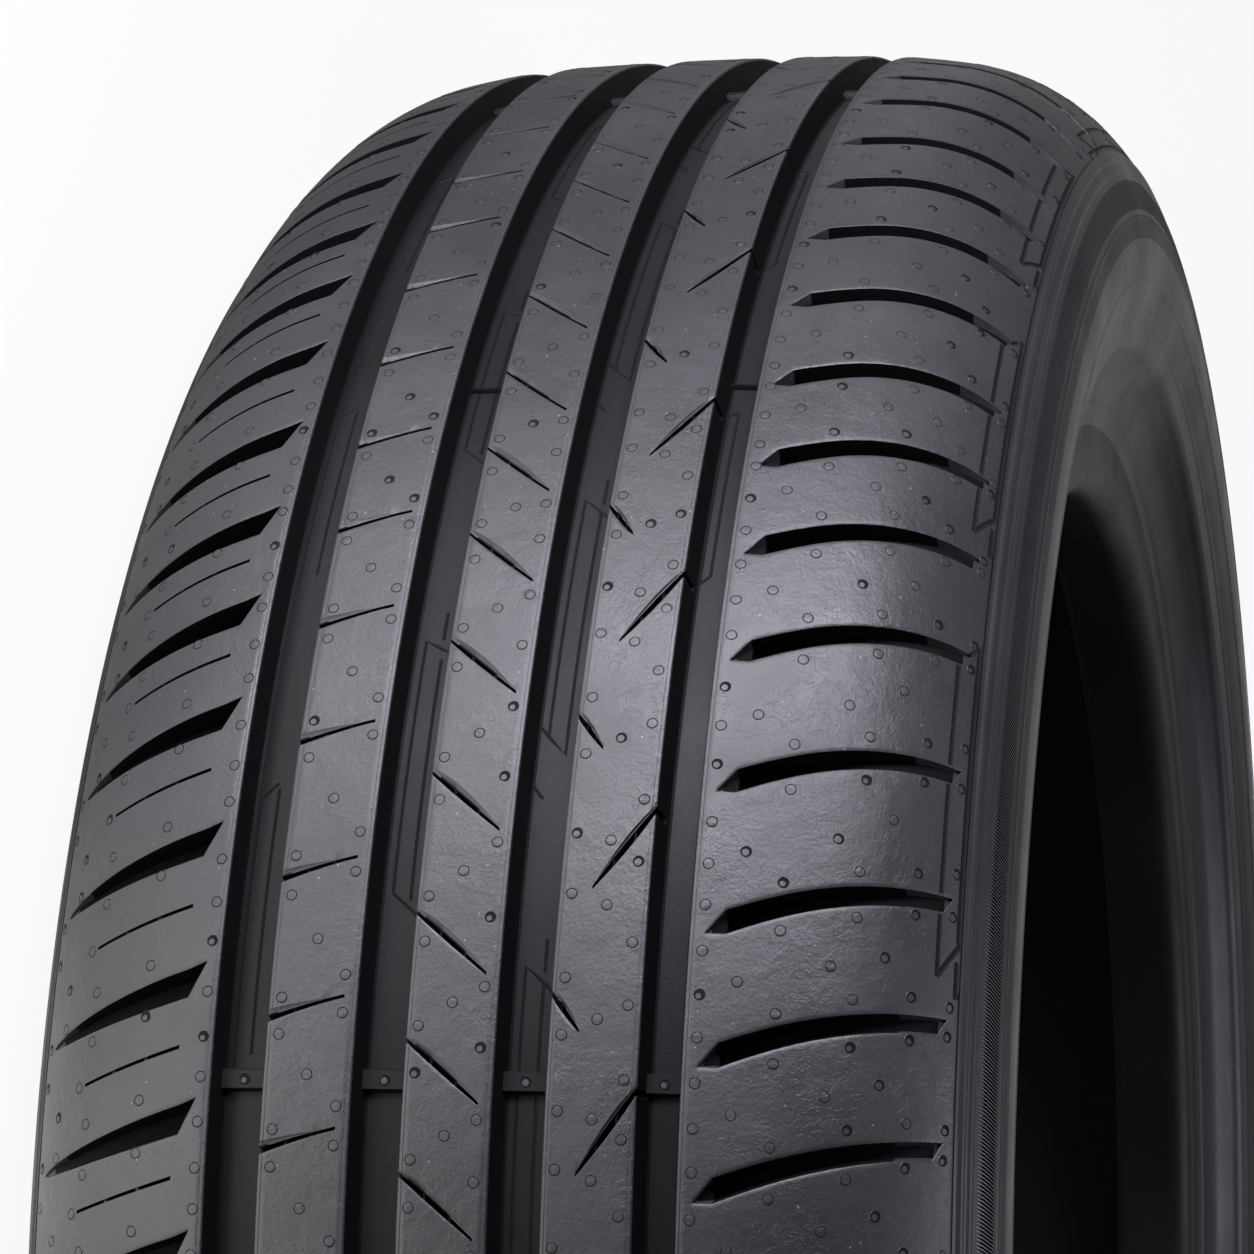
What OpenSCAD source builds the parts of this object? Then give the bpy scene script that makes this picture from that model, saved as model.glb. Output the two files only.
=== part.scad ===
// A tubeless radial car tyre with an asymmetric summer tread: five ribs, four circumferential grooves.
// The tyre's axis is +Z and its mid-plane is z = 0. The near side is towards +Z and the far side towards -Z.
// Angles round the tyre are in degrees, and places across the tread in millimetres from the mid-plane.

/* [Casing] */
// Overall diameter over the tread
outer_d = 632; // [622:1:650]
// Width over both sidewalls at their widest
section_w = 205.4; // [201:0.2:212]
// Bead seat diameter, which the rim sets
rim_d = 405.6; // [400:0.2:412]
// Width over the two beads, outside to outside, off the rim
bead_span = 172; // [166:1:176]
// Thickness from the tread to the inner liner at the middle
crown_gauge = 15.5; // [13:0.5:19]
// Thickness of the sidewall at its widest place
wall_gauge = 7; // [5:0.5:9]
// Width of the bead base along the rim's seat
bead_base_w = 22; // [18:0.5:26]
// Height of the flat outer face of the bead, above the bead seat
flange_h = 13.2; // [10:0.2:17]
// Radius of the rounded bead heel
heel_r = 7; // [4:0.5:9]
// Chamfer at the bead toe
toe_chamfer = 2; // [1:0.5:4]

/* [Rim protector] */
// Diameter of the rib's crest, low on each sidewall
protector_d = 482; // [474:1:494]
// Height of the rib
protector_h = 1.8; // [0.5:0.1:4]
// Width of the rib's foot
protector_w = 15; // [10:1:20]

/* [Crown] */
// Radius of the flat middle of the tread
crown_arc_r = 1100; // [800:10:1600]
// Width of that flat middle
crown_arc_w = 72; // [60:1:84]
// Radius of the tread between its middle and its shoulders
tread_arc_r = 170; // [140:5:260]
// Width over which the tread keeps that radius
tread_arc_w = 124; // [116:1:132]

/* [Circumferential grooves] */
// Depth of the four grooves
groove_depth = 7; // [5:0.1:8]
// How much a groove wall leans in from top to floor
groove_lean = 0.8; // [0.2:0.1:1.5]
// Middle of the first groove, on the far side
groove_1_at = -45.45; // [-48:0.05:-43]
// Width of the first groove
groove_1_w = 11.5; // [8:0.1:13]
// Middle of the second groove
groove_2_at = -15.9; // [-18:0.1:-14]
// Width of the second groove
groove_2_w = 10.8; // [8:0.1:13]
// Middle of the third groove
groove_3_at = 13.15; // [11:0.05:15]
// Width of the third groove
groove_3_w = 10.9; // [8:0.1:13]
// Middle of the fourth groove, next to the near shoulder
groove_4_at = 41.05; // [39:0.05:42]
// Width of the fourth groove
groove_4_w = 8.7; // [6:0.1:10]

/* [Tread pitches] */
// Order of the short, medium and long pitches once round the tyre, with an even number of letters
pitch_plan = "MMMLLMSSMMSSLMLLMMSSMLLMMSMMLLLMSSMMLMMSSMLLMMSMLLMMSSMLLMMSMMLLMSMMLMSMSM";
// Length of a short pitch as a share of a medium one
short_pitch = 0.892; // [0.85:0.001:1]
// Length of a long pitch as a share of a medium one
long_pitch = 1.132; // [1:0.001:1.2]
// Angle at which the first pitch starts
first_pitch_at = -4.37; // [-20:0.01:20]

/* [Shoulder grooves] */
// Where a near cross groove sits in its pitch, as degrees and a share of the pitch
near_cross_place = [1.46, 0.12]; // [-6:0.01:6]
// Where a far cross groove sits in its pitch
far_cross_place = [-1.36, 0.43]; // [-6:0.01:6]
// Width of the near shoulder's cross grooves at their inner end
near_cross_w = 4.8; // [3:0.1:6]
// Width of the far shoulder's cross grooves at their inner end
far_cross_w = 6; // [4:0.1:7]
// Land between the near shoulder's cross grooves and the fourth groove
near_land = 3; // [2:0.1:6]
// Land between the far shoulder's cross grooves and the first groove
far_land = 2.8; // [2:0.1:6]
// Depth of the cross grooves at their inner end
cross_depth = 6.4; // [4:0.1:7]
// Depth of the cross grooves at their outer end
cross_end_depth = 1; // [0.6:0.1:2]
// Distance from the mid-plane to the near shoulder's groove ends
near_cross_end = 93; // [86:0.5:94]
// Distance from the mid-plane to the far shoulder's groove ends
far_cross_end = 92; // [86:0.5:94]

/* [Sipes] */
// Width of a sipe
sipe_w = 0.7; // [0.5:0.1:1.2]
// Depth of a sipe
sipe_depth = 5.8; // [4:0.1:6.5]
// Where the far shoulder's sipe sits in its pitch, as degrees and a share of the pitch
far_sipe_place = [-1.63, 0.86]; // [-6:0.01:6]
// How far it runs round the tyre and across the tread
far_sipe_run = [-7.2, -22.4]; // [-30:0.1:30]
// Land between it and the first groove
far_sipe_land = 7.4; // [4:0.1:10]
// Where the second rib's sipe opens into the first groove
rib_2_sipe_place = [0.07, 0.72]; // [-6:0.01:6]
// How far it runs round the tyre and across the rib
rib_2_sipe_run = [4.5, 15.5]; // [-20:0.1:20]
// Where the third rib's sipe opens into the second groove
rib_3_sipe_place = [3.46, -0.14]; // [-6:0.01:6]
// How far it runs
rib_3_sipe_run = [-12.7, 15.5]; // [-20:0.1:20]
// Where the fourth rib's short sipe opens into the third groove, in every other pitch
rib_4_short_place = [0.71, 0.79]; // [-6:0.01:6]
// How far it runs
rib_4_short_run = [-7, 6]; // [-20:0.1:20]
// Where the fourth rib's long sipe opens into the fourth groove, in every other pitch
rib_4_long_place = [-0.25, 0.27]; // [-6:0.01:6]
// How far it runs
rib_4_long_run = [-16, -11.5]; // [-20:0.1:20]

/* [Wear bars] */
// Number of sets round the tyre
wear_sets = 6; // [4:1:8]
// Height of a wear bar above the groove floor
wear_bar_h = 1.6; // [1.6:0.1:2.4]
// Length of a wear bar round the tyre
wear_bar_l = 4; // [3:0.5:8]
// Angle of the first set
wear_bar_at = 6.75; // [0:0.05:30]

/* [Hidden] */
$fn = 180;
rubber = [0.13, 0.13, 0.14];

outer_r = outer_d / 2;
rim_r = rim_d / 2;
half_section = section_w / 2;
half_span = bead_span / 2;
half_crown = crown_arc_w / 2;
half_tread = tread_arc_w / 2;

// Outside of the tread and shoulder: three arcs, each tangent to the next
crown_drop = crown_arc_r - sqrt(pow(crown_arc_r, 2) - pow(half_crown, 2));
crown_edge_sin = half_crown / crown_arc_r;
tread_centre = [half_crown - tread_arc_r * crown_edge_sin,
                outer_r - crown_drop - tread_arc_r * sqrt(1 - pow(crown_edge_sin, 2))];
tread_edge_sin = (half_tread - tread_centre[0]) / tread_arc_r;
tread_edge_r = tread_centre[1] + tread_arc_r * sqrt(1 - pow(tread_edge_sin, 2));
shoulder_arc_r = (half_section - half_tread) / (1 - tread_edge_sin);
shoulder_centre = [half_section - shoulder_arc_r,
                   tread_edge_r - shoulder_arc_r * sqrt(1 - pow(tread_edge_sin, 2))];
// Inside of the crown and shoulder: a cylinder, then one arc to the widest place, centred a little lower
liner_drop = 4;
liner_centre_r = shoulder_centre[1] - liner_drop;
liner_arc_r = outer_r - crown_gauge - liner_centre_r;
liner_centre = [half_section - wall_gauge - liner_arc_r, liner_centre_r];
// Bead toe: its face rises toe_h and leans outwards by toe_lean
toe_at = half_span - bead_base_w;
toe_lean = 2;
toe_h = 10;

// The grooves as [middle, width], and where each begins and ends across the tread
grooves = [[groove_1_at, groove_1_w], [groove_2_at, groove_2_w],
           [groove_3_at, groove_3_w], [groove_4_at, groove_4_w]];
function low_edge(g) = g[0] - g[1] / 2;
function high_edge(g) = g[0] + g[1] / 2;
far_rib_edge = low_edge(grooves[0]);
near_rib_edge = high_edge(grooves[3]);
// Largest steps between the section's points: degrees on the shoulder, millimetres on the tread
shoulder_step = 9;
crown_step = 12;

// Radius of the tyre's outside at the distance z from the mid-plane, out to the widest place
function on_arc(centre, r, a) = centre[1] + sqrt(max(0, pow(r, 2) - pow(a - centre[0], 2)));
function tread_r(z) = let (a = abs(z))
    a <= half_crown ? outer_r - crown_arc_r + sqrt(pow(crown_arc_r, 2) - pow(a, 2))
    : a <= half_tread ? on_arc(tread_centre, tread_arc_r, a)
    : on_arc(shoulder_centre, shoulder_arc_r, a);

// Points of an arc from one angle to another, as [z, radius], without the first one
function arc(centre, r, from, to, steps) =
    [for (i = [1:steps]) let (t = from + (to - from) * i / steps) centre + r * [cos(t), sin(t)]];

// An S-shaped wall of two equal arcs, upright at both ends, as [z, radius]
function s_wall(from, to, steps) = let (
    dz = from[0] - to[0],
    dr = from[1] - to[1],
    turn = 2 * atan(dz / dr),
    r = dr / (2 * sin(turn)))
    concat([from], arc(from - [r, 0], r, 0, -turn, steps), arc(to + [r, 0], r, 180 - turn, 180, steps));

// Tread stations between two distances from the mid-plane, as [z, radius]
function tread_points(from, to) = let (n = max(1, ceil((to - from) / crown_step)))
    [for (i = [0:n]) let (z = from + (to - from) * i / n) [z, tread_r(z)]];

// One groove as it cuts the section: down one wall, over the floor and up the other
function groove_points(g) = [
    [low_edge(g) + groove_lean, tread_r(low_edge(g)) - groove_depth],
    [high_edge(g) - groove_lean, tread_r(high_edge(g)) - groove_depth]];

function reversed(points) = [for (i = [len(points) - 1:-1:0]) points[i]];
function mirrored(points) = [for (i = [len(points) - 1:-1:0]) [-points[i][0], points[i][1]]];

// The outside wall below the widest place has the same S shape, with the rim protector's rib on it
wall_top = [half_section, shoulder_centre[1]];
wall_foot = [half_span, rim_r + flange_h];
wall_dr = wall_top[1] - wall_foot[1];
wall_arc_r = wall_dr / (2 * sin(2 * atan((wall_top[0] - wall_foot[0]) / wall_dr)));
wall_steps = 16;
function off_upright(height) = wall_arc_r * (1 - sqrt(1 - pow(height / wall_arc_r, 2)));
function wall_z(r) = r > wall_foot[1] + wall_dr / 2
    ? wall_top[0] - off_upright(wall_top[1] - r)
    : wall_foot[0] + off_upright(r - wall_foot[1]);
function rib_z(r) = let (u = 2 * abs(r - protector_d / 2) / protector_w)
    u < 1 ? protector_h * (1 + cos(180 * u)) / 2 : 0;

shoulder_start = 90 - asin(tread_edge_sin);
// The near side's wall from the shoulder to the bead toe, outside and then inside
outside = concat(
    arc(shoulder_centre, shoulder_arc_r, shoulder_start, shoulder_step,
        floor(shoulder_start / shoulder_step)),
    [for (i = [0:wall_steps]) let (r = wall_top[1] - wall_dr * i / wall_steps) [wall_z(r) + rib_z(r), r]],
    [[half_span, rim_r + heel_r]],
    arc([half_span - heel_r, rim_r + heel_r], heel_r, 0, -90, 4));
inside = concat(
    [[toe_at + toe_chamfer, rim_r], [toe_at, rim_r + toe_chamfer]],
    reversed(s_wall([half_section - wall_gauge, liner_centre[1]], [toe_at + toe_lean, rim_r + toe_h], 4)),
    arc(liner_centre, liner_arc_r, 0, 90, 9));
tread_top = concat(
    tread_points(-half_tread, far_rib_edge),
    groove_points(grooves[0]),
    tread_points(high_edge(grooves[0]), low_edge(grooves[1])),
    groove_points(grooves[1]),
    tread_points(high_edge(grooves[1]), low_edge(grooves[2])),
    groove_points(grooves[2]),
    tread_points(high_edge(grooves[2]), low_edge(grooves[3])),
    groove_points(grooves[3]),
    tread_points(near_rib_edge, half_tread));

// Pitches: each one's length in degrees and where it starts
function pitch_share(letter) = letter == "S" ? short_pitch : letter == "L" ? long_pitch : 1;
shares = [for (letter = pitch_plan) pitch_share(letter)];
function sum_to(list, n) = n <= 0 ? 0 : list[n - 1] + sum_to(list, n - 1);
medium = 360 / sum_to(shares, len(shares));
pitches = [for (s = shares) s * medium];
starts = [for (i = [0:len(pitches) - 1]) first_pitch_at + sum_to(pitches, i)];
function at(i, place) = starts[i] + place[0] + place[1] * pitches[i];

module ring(points) {
    rotate_extrude() polygon([for (p = points) [p[1], p[0]]]);
}

module casing() {
    ring(concat(tread_top, outside, inside, mirrored(inside), mirrored(outside)));
}

// A cut along the radius at angle a, from an outline of [distance round the tyre, z] points
over = 3; // every cut reaches this far above the tread
module radial_prism(outline, bottom_r) {
    translate([bottom_r, 0, 0]) rotate([90, 0, 90])
        linear_extrude(height = outer_r + over - bottom_r) polygon([for (p = outline) [-p[0], p[1]]]);
}
module level_cut(a, outline, bottom_r) {
    rotate([0, 0, -90 - a]) radial_prism(outline, bottom_r);
}

// The same with a floor that follows the shoulder down, given as [z, depth] stations
module shoulder_cut(a, outline, floor_stations) {
    floor_line = [for (s = floor_stations) [tread_r(s[0]) - s[1], s[0]]];
    first_z = floor_stations[0][0];
    last_z = floor_stations[len(floor_stations) - 1][0];
    rotate([0, 0, -90 - a]) intersection() {
        radial_prism(outline, shoulder_centre[1]);
        rotate([90, 0, 0]) linear_extrude(height = 2 * shoulder_arc_r, center = true)
            polygon(concat(floor_line, [[outer_r + over - 1, last_z], [outer_r + over - 1, first_z]]));
    }
}

// Cross grooves are laid out from a line round each shoulder, u millimetres outwards of it.
// Their middle lines are given as [place round the tyre at that line, slope, bend].
shoulder_line = 60;
near_cross_line = [5, 0.349, -0.0033];
far_cross_line = [-5.6, -0.305, 0];
function on_line(line, u) = line[0] + line[1] * u + line[2] * pow(u, 2);

// Near shoulder: a slanted tip, then a band that bends and narrows slightly
near_tip = near_rib_edge + near_land;
near_taper = 0.017; // how fast each side closes in
near_tip_slants = [3.8, 1.1]; // how far past the tip the band's two sides begin
near_end_slant = 1; // and how much sooner the second one ends
cross_steps = 5;
function near_cross_side(side, from, to) =
    [for (i = [0:cross_steps]) let (u = from + (to - from) * i / cross_steps)
        [on_line(near_cross_line, u) + side * (near_cross_w / 2 - near_taper * u), shoulder_line + u]];
function near_cross_outline() = let (tip = near_tip - shoulder_line, end = near_cross_end - shoulder_line)
    concat([[0, near_tip]],
        near_cross_side(1, tip + near_tip_slants[0], end),
        reversed(near_cross_side(-1, tip + near_tip_slants[1], end - near_end_slant)));

// Far shoulder: a slanted inner end, then a band that closes to a point
far_tip = far_rib_edge - far_land;
far_tip_slant = 3.6; // how far past the tip the band's first side begins
far_fullness = 1.4; // how long the band stays wide before it closes
function far_cross_half(u, end) = far_cross_w / 2 * sqrt(max(0, 1 - pow(max(0, u) / end, far_fullness)));
function far_cross_point(side, u, end) =
    [on_line(far_cross_line, u) + side * far_cross_half(u, end), -shoulder_line - u];
function far_cross_outline() = let (
    tip = -far_tip - shoulder_line,
    end = far_cross_end - shoulder_line,
    start = tip + far_tip_slant)
    concat([[0, far_tip]],
        [for (i = [0:cross_steps]) far_cross_point(-1, start + (end - start) * i / cross_steps, end)],
        [for (i = [cross_steps - 1:-1:1]) far_cross_point(1, tip + (end - tip) * i / cross_steps, end)]);

// Floors of the shoulder's cuts: how much of the full depth is left at distances past the shoulder line
floor_fall = [[0, 1], [12, 0.8], [23, 0.5]];
function falling(side, depth) = [for (f = floor_fall) [side * (shoulder_line + f[0]), f[1] * depth]];
near_floor = concat(
    [[near_tip - 1, cross_depth]], falling(1, cross_depth), [[near_cross_end + 1, cross_end_depth]]);
far_floor = concat(
    [[far_tip + 1, cross_depth]], falling(-1, cross_depth), [[-far_cross_end - 1, cross_end_depth]]);

// A thin sipe between two points
function sipe_outline(from, to) =
    [from + [sipe_w / 2, 0], to + [sipe_w / 2, 0], to - [sipe_w / 2, 0], from - [sipe_w / 2, 0]];
// One that starts in the groove beside a rib, a little before the rib's edge, and runs across the rib
into_groove = 1;
function rib_sipe(edge, run) = let (unit = run / abs(run[1]))
    sipe_outline([0, edge] - into_groove * unit, [0, edge] + run);
// Rib sipes have a level floor, at the full depth below the second and fourth ribs
rib_sipe_bottom = tread_r(low_edge(grooves[3])) - sipe_depth;
far_sipe_start = far_rib_edge - far_sipe_land;
far_sipe_floor = concat([[far_sipe_start + 1, sipe_depth]], falling(-1, sipe_depth));

module near_cross_grooves() {
    for (i = [0:len(pitches) - 1]) shoulder_cut(at(i, near_cross_place), near_cross_outline(), near_floor);
}
module far_cross_grooves() {
    for (i = [0:len(pitches) - 1]) shoulder_cut(at(i, far_cross_place), far_cross_outline(), far_floor);
}
module far_sipes() {
    for (i = [0:len(pitches) - 1])
        shoulder_cut(at(i, far_sipe_place),
            sipe_outline([0, far_sipe_start], [0, far_sipe_start] + far_sipe_run), far_sipe_floor);
}
module rib_2_sipes() {
    for (i = [0:len(pitches) - 1])
        level_cut(at(i, rib_2_sipe_place), rib_sipe(high_edge(grooves[0]), rib_2_sipe_run), rib_sipe_bottom);
}
module rib_3_sipes() {
    for (i = [0:len(pitches) - 1])
        level_cut(at(i, rib_3_sipe_place), rib_sipe(high_edge(grooves[1]), rib_3_sipe_run), rib_sipe_bottom);
}
module rib_4_sipes() {
    for (i = [0:2:len(pitches) - 1]) {
        level_cut(at(i, rib_4_short_place),
            rib_sipe(high_edge(grooves[2]), rib_4_short_run), rib_sipe_bottom);
        level_cut(at(i, rib_4_long_place),
            rib_sipe(low_edge(grooves[3]), rib_4_long_run), rib_sipe_bottom);
    }
}

// Wear bars stand on the groove floors, let in by bar_root
bar_root = 1;
module wear_bars() {
    for (i = [0:wear_sets - 1], g = grooves)
        rotate([0, 0, -90 - wear_bar_at - i * 360 / wear_sets])
            translate([tread_r(g[0]) - groove_depth - bar_root, -wear_bar_l / 2, low_edge(g)])
                cube([wear_bar_h + bar_root, wear_bar_l, g[1]]);
}

module tyre() {
    color(rubber) difference() {
        union() {
            casing();
            wear_bars();
        }
        near_cross_grooves();
        far_cross_grooves();
        far_sipes();
        rib_2_sipes();
        rib_3_sipes();
        rib_4_sipes();
    }
}

tyre();
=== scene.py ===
"""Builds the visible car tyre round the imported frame, with its floor, lights and camera.

Code works in millimetres and radians, and put_mesh turns lengths into metres. A place on the tyre is given
by its angle round the axis, its distance z from the mid-plane, and its radius or its depth below the tread.
The lamps, the floor's bright patches and the camera are in metres.
"""
from types import SimpleNamespace

import bpy
import numpy as np
from bpy.props import FloatProperty, FloatVectorProperty, IntProperty, PointerProperty, StringProperty
from mathutils import Matrix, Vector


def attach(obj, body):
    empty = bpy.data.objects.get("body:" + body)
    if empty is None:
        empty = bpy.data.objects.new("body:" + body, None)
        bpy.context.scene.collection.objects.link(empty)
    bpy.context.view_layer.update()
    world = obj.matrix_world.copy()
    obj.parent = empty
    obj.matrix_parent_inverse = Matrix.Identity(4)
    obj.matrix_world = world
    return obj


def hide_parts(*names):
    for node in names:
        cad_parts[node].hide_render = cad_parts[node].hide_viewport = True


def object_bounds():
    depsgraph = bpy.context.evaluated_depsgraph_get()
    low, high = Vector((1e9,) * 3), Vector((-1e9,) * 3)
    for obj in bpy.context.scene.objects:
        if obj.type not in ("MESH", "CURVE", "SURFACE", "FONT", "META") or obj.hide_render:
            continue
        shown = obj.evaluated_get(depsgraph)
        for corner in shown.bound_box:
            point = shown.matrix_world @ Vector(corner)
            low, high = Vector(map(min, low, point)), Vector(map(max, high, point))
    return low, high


bl_info = {
    "name": "Car Tyre",
    "version": (1, 0, 0),
    "blender": (4, 5, 0),
    "location": "3D View > Sidebar > Tyre",
    "description": "A radial car tyre with moulded tread, sidewalls, vents and mould marks",
    "category": "Add Mesh",
}

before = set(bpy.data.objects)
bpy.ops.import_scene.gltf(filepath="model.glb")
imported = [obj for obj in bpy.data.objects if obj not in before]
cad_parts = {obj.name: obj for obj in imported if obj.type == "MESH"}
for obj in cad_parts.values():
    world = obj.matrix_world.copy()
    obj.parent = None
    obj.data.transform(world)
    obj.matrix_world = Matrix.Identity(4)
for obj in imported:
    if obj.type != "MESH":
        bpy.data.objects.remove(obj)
CAD_BOX = [[float(x) for x in corner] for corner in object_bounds()]
MM = 0.001
NODE = "tyre"
BODY = "root"


def length(name, text, default, low=0.0, high=1.0):
    """A length property in metres, with its default given in millimetres."""
    return FloatProperty(name=name, description=text, default=default * MM, min=low, max=high,
                         subtype="DISTANCE", unit="LENGTH", precision=5)


def lengths(name, text, default):
    """A property of several lengths in metres, with their defaults given in millimetres."""
    return FloatVectorProperty(name=name, description=text, size=len(default),
                               default=[value * MM for value in default],
                               subtype="XYZ", unit="LENGTH", precision=5)


def colour(name, text, default):
    """A colour property."""
    return FloatVectorProperty(name=name, description=text, default=default, size=3, min=0, max=1,
                               subtype="COLOR")


class CasingSizes(bpy.types.PropertyGroup):
    outer_d: length("Outer diameter", "Diameter over the tread", (CAD_BOX[1][0] - CAD_BOX[0][0]) / MM)
    section_w: length("Section width", "Width over both sidewalls", (CAD_BOX[1][2] - CAD_BOX[0][2]) / MM)
    rim_d: length("Rim diameter", "Diameter of the bead seats", 405.6)
    bead_span: length("Bead span", "Width over both beads", 172)
    crown_gauge: length("Crown gauge", "Thickness from the tread to the liner", 15.5)
    wall_gauge: length("Wall gauge", "Thickness of the sidewall where it is widest", 7)
    bead_base_w: length("Bead base", "Width of the bead's base", 22)
    flange_h: length("Flange height", "Height of the bead's flat outer face", 13.2)
    heel_r: length("Heel radius", "Radius of the rounded bead heel", 7)
    crown_arc_r: length("Crown radius", "Radius of the flat middle of the tread's section", 1100, high=3.0)
    crown_arc_w: length("Crown width", "Width of that flat middle", 72)
    tread_arc_r: length("Tread radius", "Radius of the section beside the flat middle", 170)
    tread_arc_w: length("Tread width", "Width over which the tread keeps that radius", 124)
    protector_d: length("Protector diameter", "Diameter of the rim protector's crest", 482)
    protector_h: length("Protector height", "Height of that rib", 1.8)
    protector_w: length("Protector width", "Width of its foot", 15)
    steps: IntProperty(name="Steps", description="Facets round the casing", default=560, min=90)


class TreadSizes(bpy.types.PropertyGroup):
    groove_depth: length("Groove depth", "Depth of the four straight grooves", 7)
    groove_lean: length("Groove lean", "How far a groove's wall leans in", 0.8)
    groove_at: lengths("Groove places", "Middle of each straight groove", (-45.45, -15.9, 13.15, 41.05))
    groove_w: lengths("Groove widths", "Width of each straight groove", (11.5, 10.8, 10.9, 8.7))
    pitch_plan: StringProperty(
        name="Pitch plan", description="Short, medium and long pitches in their order round the tyre",
        default="MMMLLMSSMMSSLMLLMMSSMLLMMSMMLLLMSSMMLMMSSMLLMMSMLLMMSSMLLMMSMMLLMSMMLMSMSM")
    short_pitch: FloatProperty(name="Short pitch", description="As a share of a medium one", default=0.892)
    long_pitch: FloatProperty(name="Long pitch", description="As a share of a medium one", default=1.132)
    first_pitch_at: FloatProperty(name="First pitch", description="Angle where it starts",
                                  default=np.radians(-4.37), subtype="ANGLE", unit="ROTATION")
    cross_depth: length("Cross depth", "Depth of the cross grooves at their inner ends", 6.4)
    cross_end_depth: length("Cross end depth", "Depth of the cross grooves at their outer ends", 1)
    sipe_w: length("Sipe width", "Width of a sipe's slot", 0.72)
    sipe_depth: length("Sipe depth", "Depth of a sipe's slot", 5.8)
    wear_sets: IntProperty(name="Wear sets", description="Sets of wear bars round the tyre",
                           default=6, min=1)
    wear_bar_h: length("Wear bar height", "Height of a wear bar above the groove's floor", 1.6)
    wear_bar_l: length("Wear bar length", "Length of a wear bar round the tyre", 4)
    wear_bar_at: FloatProperty(name="Wear bar angle", description="Angle of the first set",
                               default=np.radians(6.75), subtype="ANGLE", unit="ROTATION")
    seam_at: FloatProperty(name="Seam angle", description="Angle of the mould's first seam",
                           default=np.radians(37.45), subtype="ANGLE", unit="ROTATION")


class MarkSizes(bpy.types.PropertyGroup):
    vent_d: length("Vent diameter", "Diameter of the round mark that a mould vent leaves", 2.35)
    vent_h: length("Vent height", "Height of its rim", 0.06)
    line_w: length("Line width", "Width of a fine line on the groove floors and shoulders", 0.75)
    seam_h: length("Seam height", "Height of the fin that a mould seam leaves in a groove", 1.3)
    rib_pitch: length("Serration pitch", "Distance between two ribs of the serrated bands", 0.78)
    rib_h: length("Serration height", "Height of those ribs", 0.35)


class TyreFinishes(bpy.types.PropertyGroup):
    tread: colour("Tread", "Tread rubber", (0.022, 0.0215, 0.024))
    bloom: colour("Bloom", "Paler, cloudy patches on the tread", (0.052, 0.051, 0.057))
    dust: colour("Dust", "Pale specks on the tread", (0.2, 0.2, 0.21))
    # Painted shade: the grooves' rubber is darker than the tread, standing in for the shade deep in the
    # grooves.
    groove: colour("Grooves", "Rubber deep in the grooves", (0.011, 0.011, 0.012))
    wall: colour("Sidewall", "Sidewall rubber", (0.024, 0.0235, 0.026))
    liner: colour("Liner", "Inner liner", (0.012, 0.012, 0.013))
    # Painted shade: the walls of the grooves and cuts are near black, standing in for the shade in them.
    cut: colour("Cuts", "Walls of the grooves and cuts", (0.003, 0.003, 0.0033))
    # Painted shade: the fine gap round a vent mark and the flush strips of the fine lines are dark, standing
    # in for the shade in them.
    painted_gap_shade: colour("Vent groove", "Fine gap round a vent mark", (0.008, 0.008, 0.009))
    roughness: FloatProperty(name="Roughness", description="Of the tread", default=0.47, min=0, max=1)


class StageSizes(bpy.types.PropertyGroup):
    camera_at: FloatVectorProperty(name="Camera", description="Its place", default=(0, -1.1817, 0.2435),
                                   subtype="TRANSLATION", unit="LENGTH")
    camera_turn: FloatVectorProperty(name="Camera turn", description="Its rotation",
                                     default=[np.radians(v) for v in (2.381, -76.473, 95.820)],
                                     subtype="EULER", unit="ROTATION")
    lens: FloatProperty(name="Lens", description="Focal length in millimetres", default=130.9)
    floor_w: length("Floor width", "Width of the floor", 12000, high=40)
    floor_colour: colour("Floor colour", "Pale studio floor", (0.82, 0.82, 0.82))


def in_mm(group):
    """The group's values by name, with every length in millimetres."""
    values = {}
    for prop in group.bl_rna.properties:
        if prop.identifier in ("rna_type", "name"):
            continue
        value = getattr(group, prop.identifier)
        if prop.type == "FLOAT":
            value = np.array(value, float) if prop.is_array else float(value)
            if prop.unit == "LENGTH":
                value = value / MM
        values[prop.identifier] = value
    return SimpleNamespace(**values)


def sizes():
    """Casing, tread and mark sizes in millimetres."""
    scene = bpy.context.scene
    return in_mm(scene.tyre_casing), in_mm(scene.tyre_tread), in_mm(scene.tyre_marks)


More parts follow.
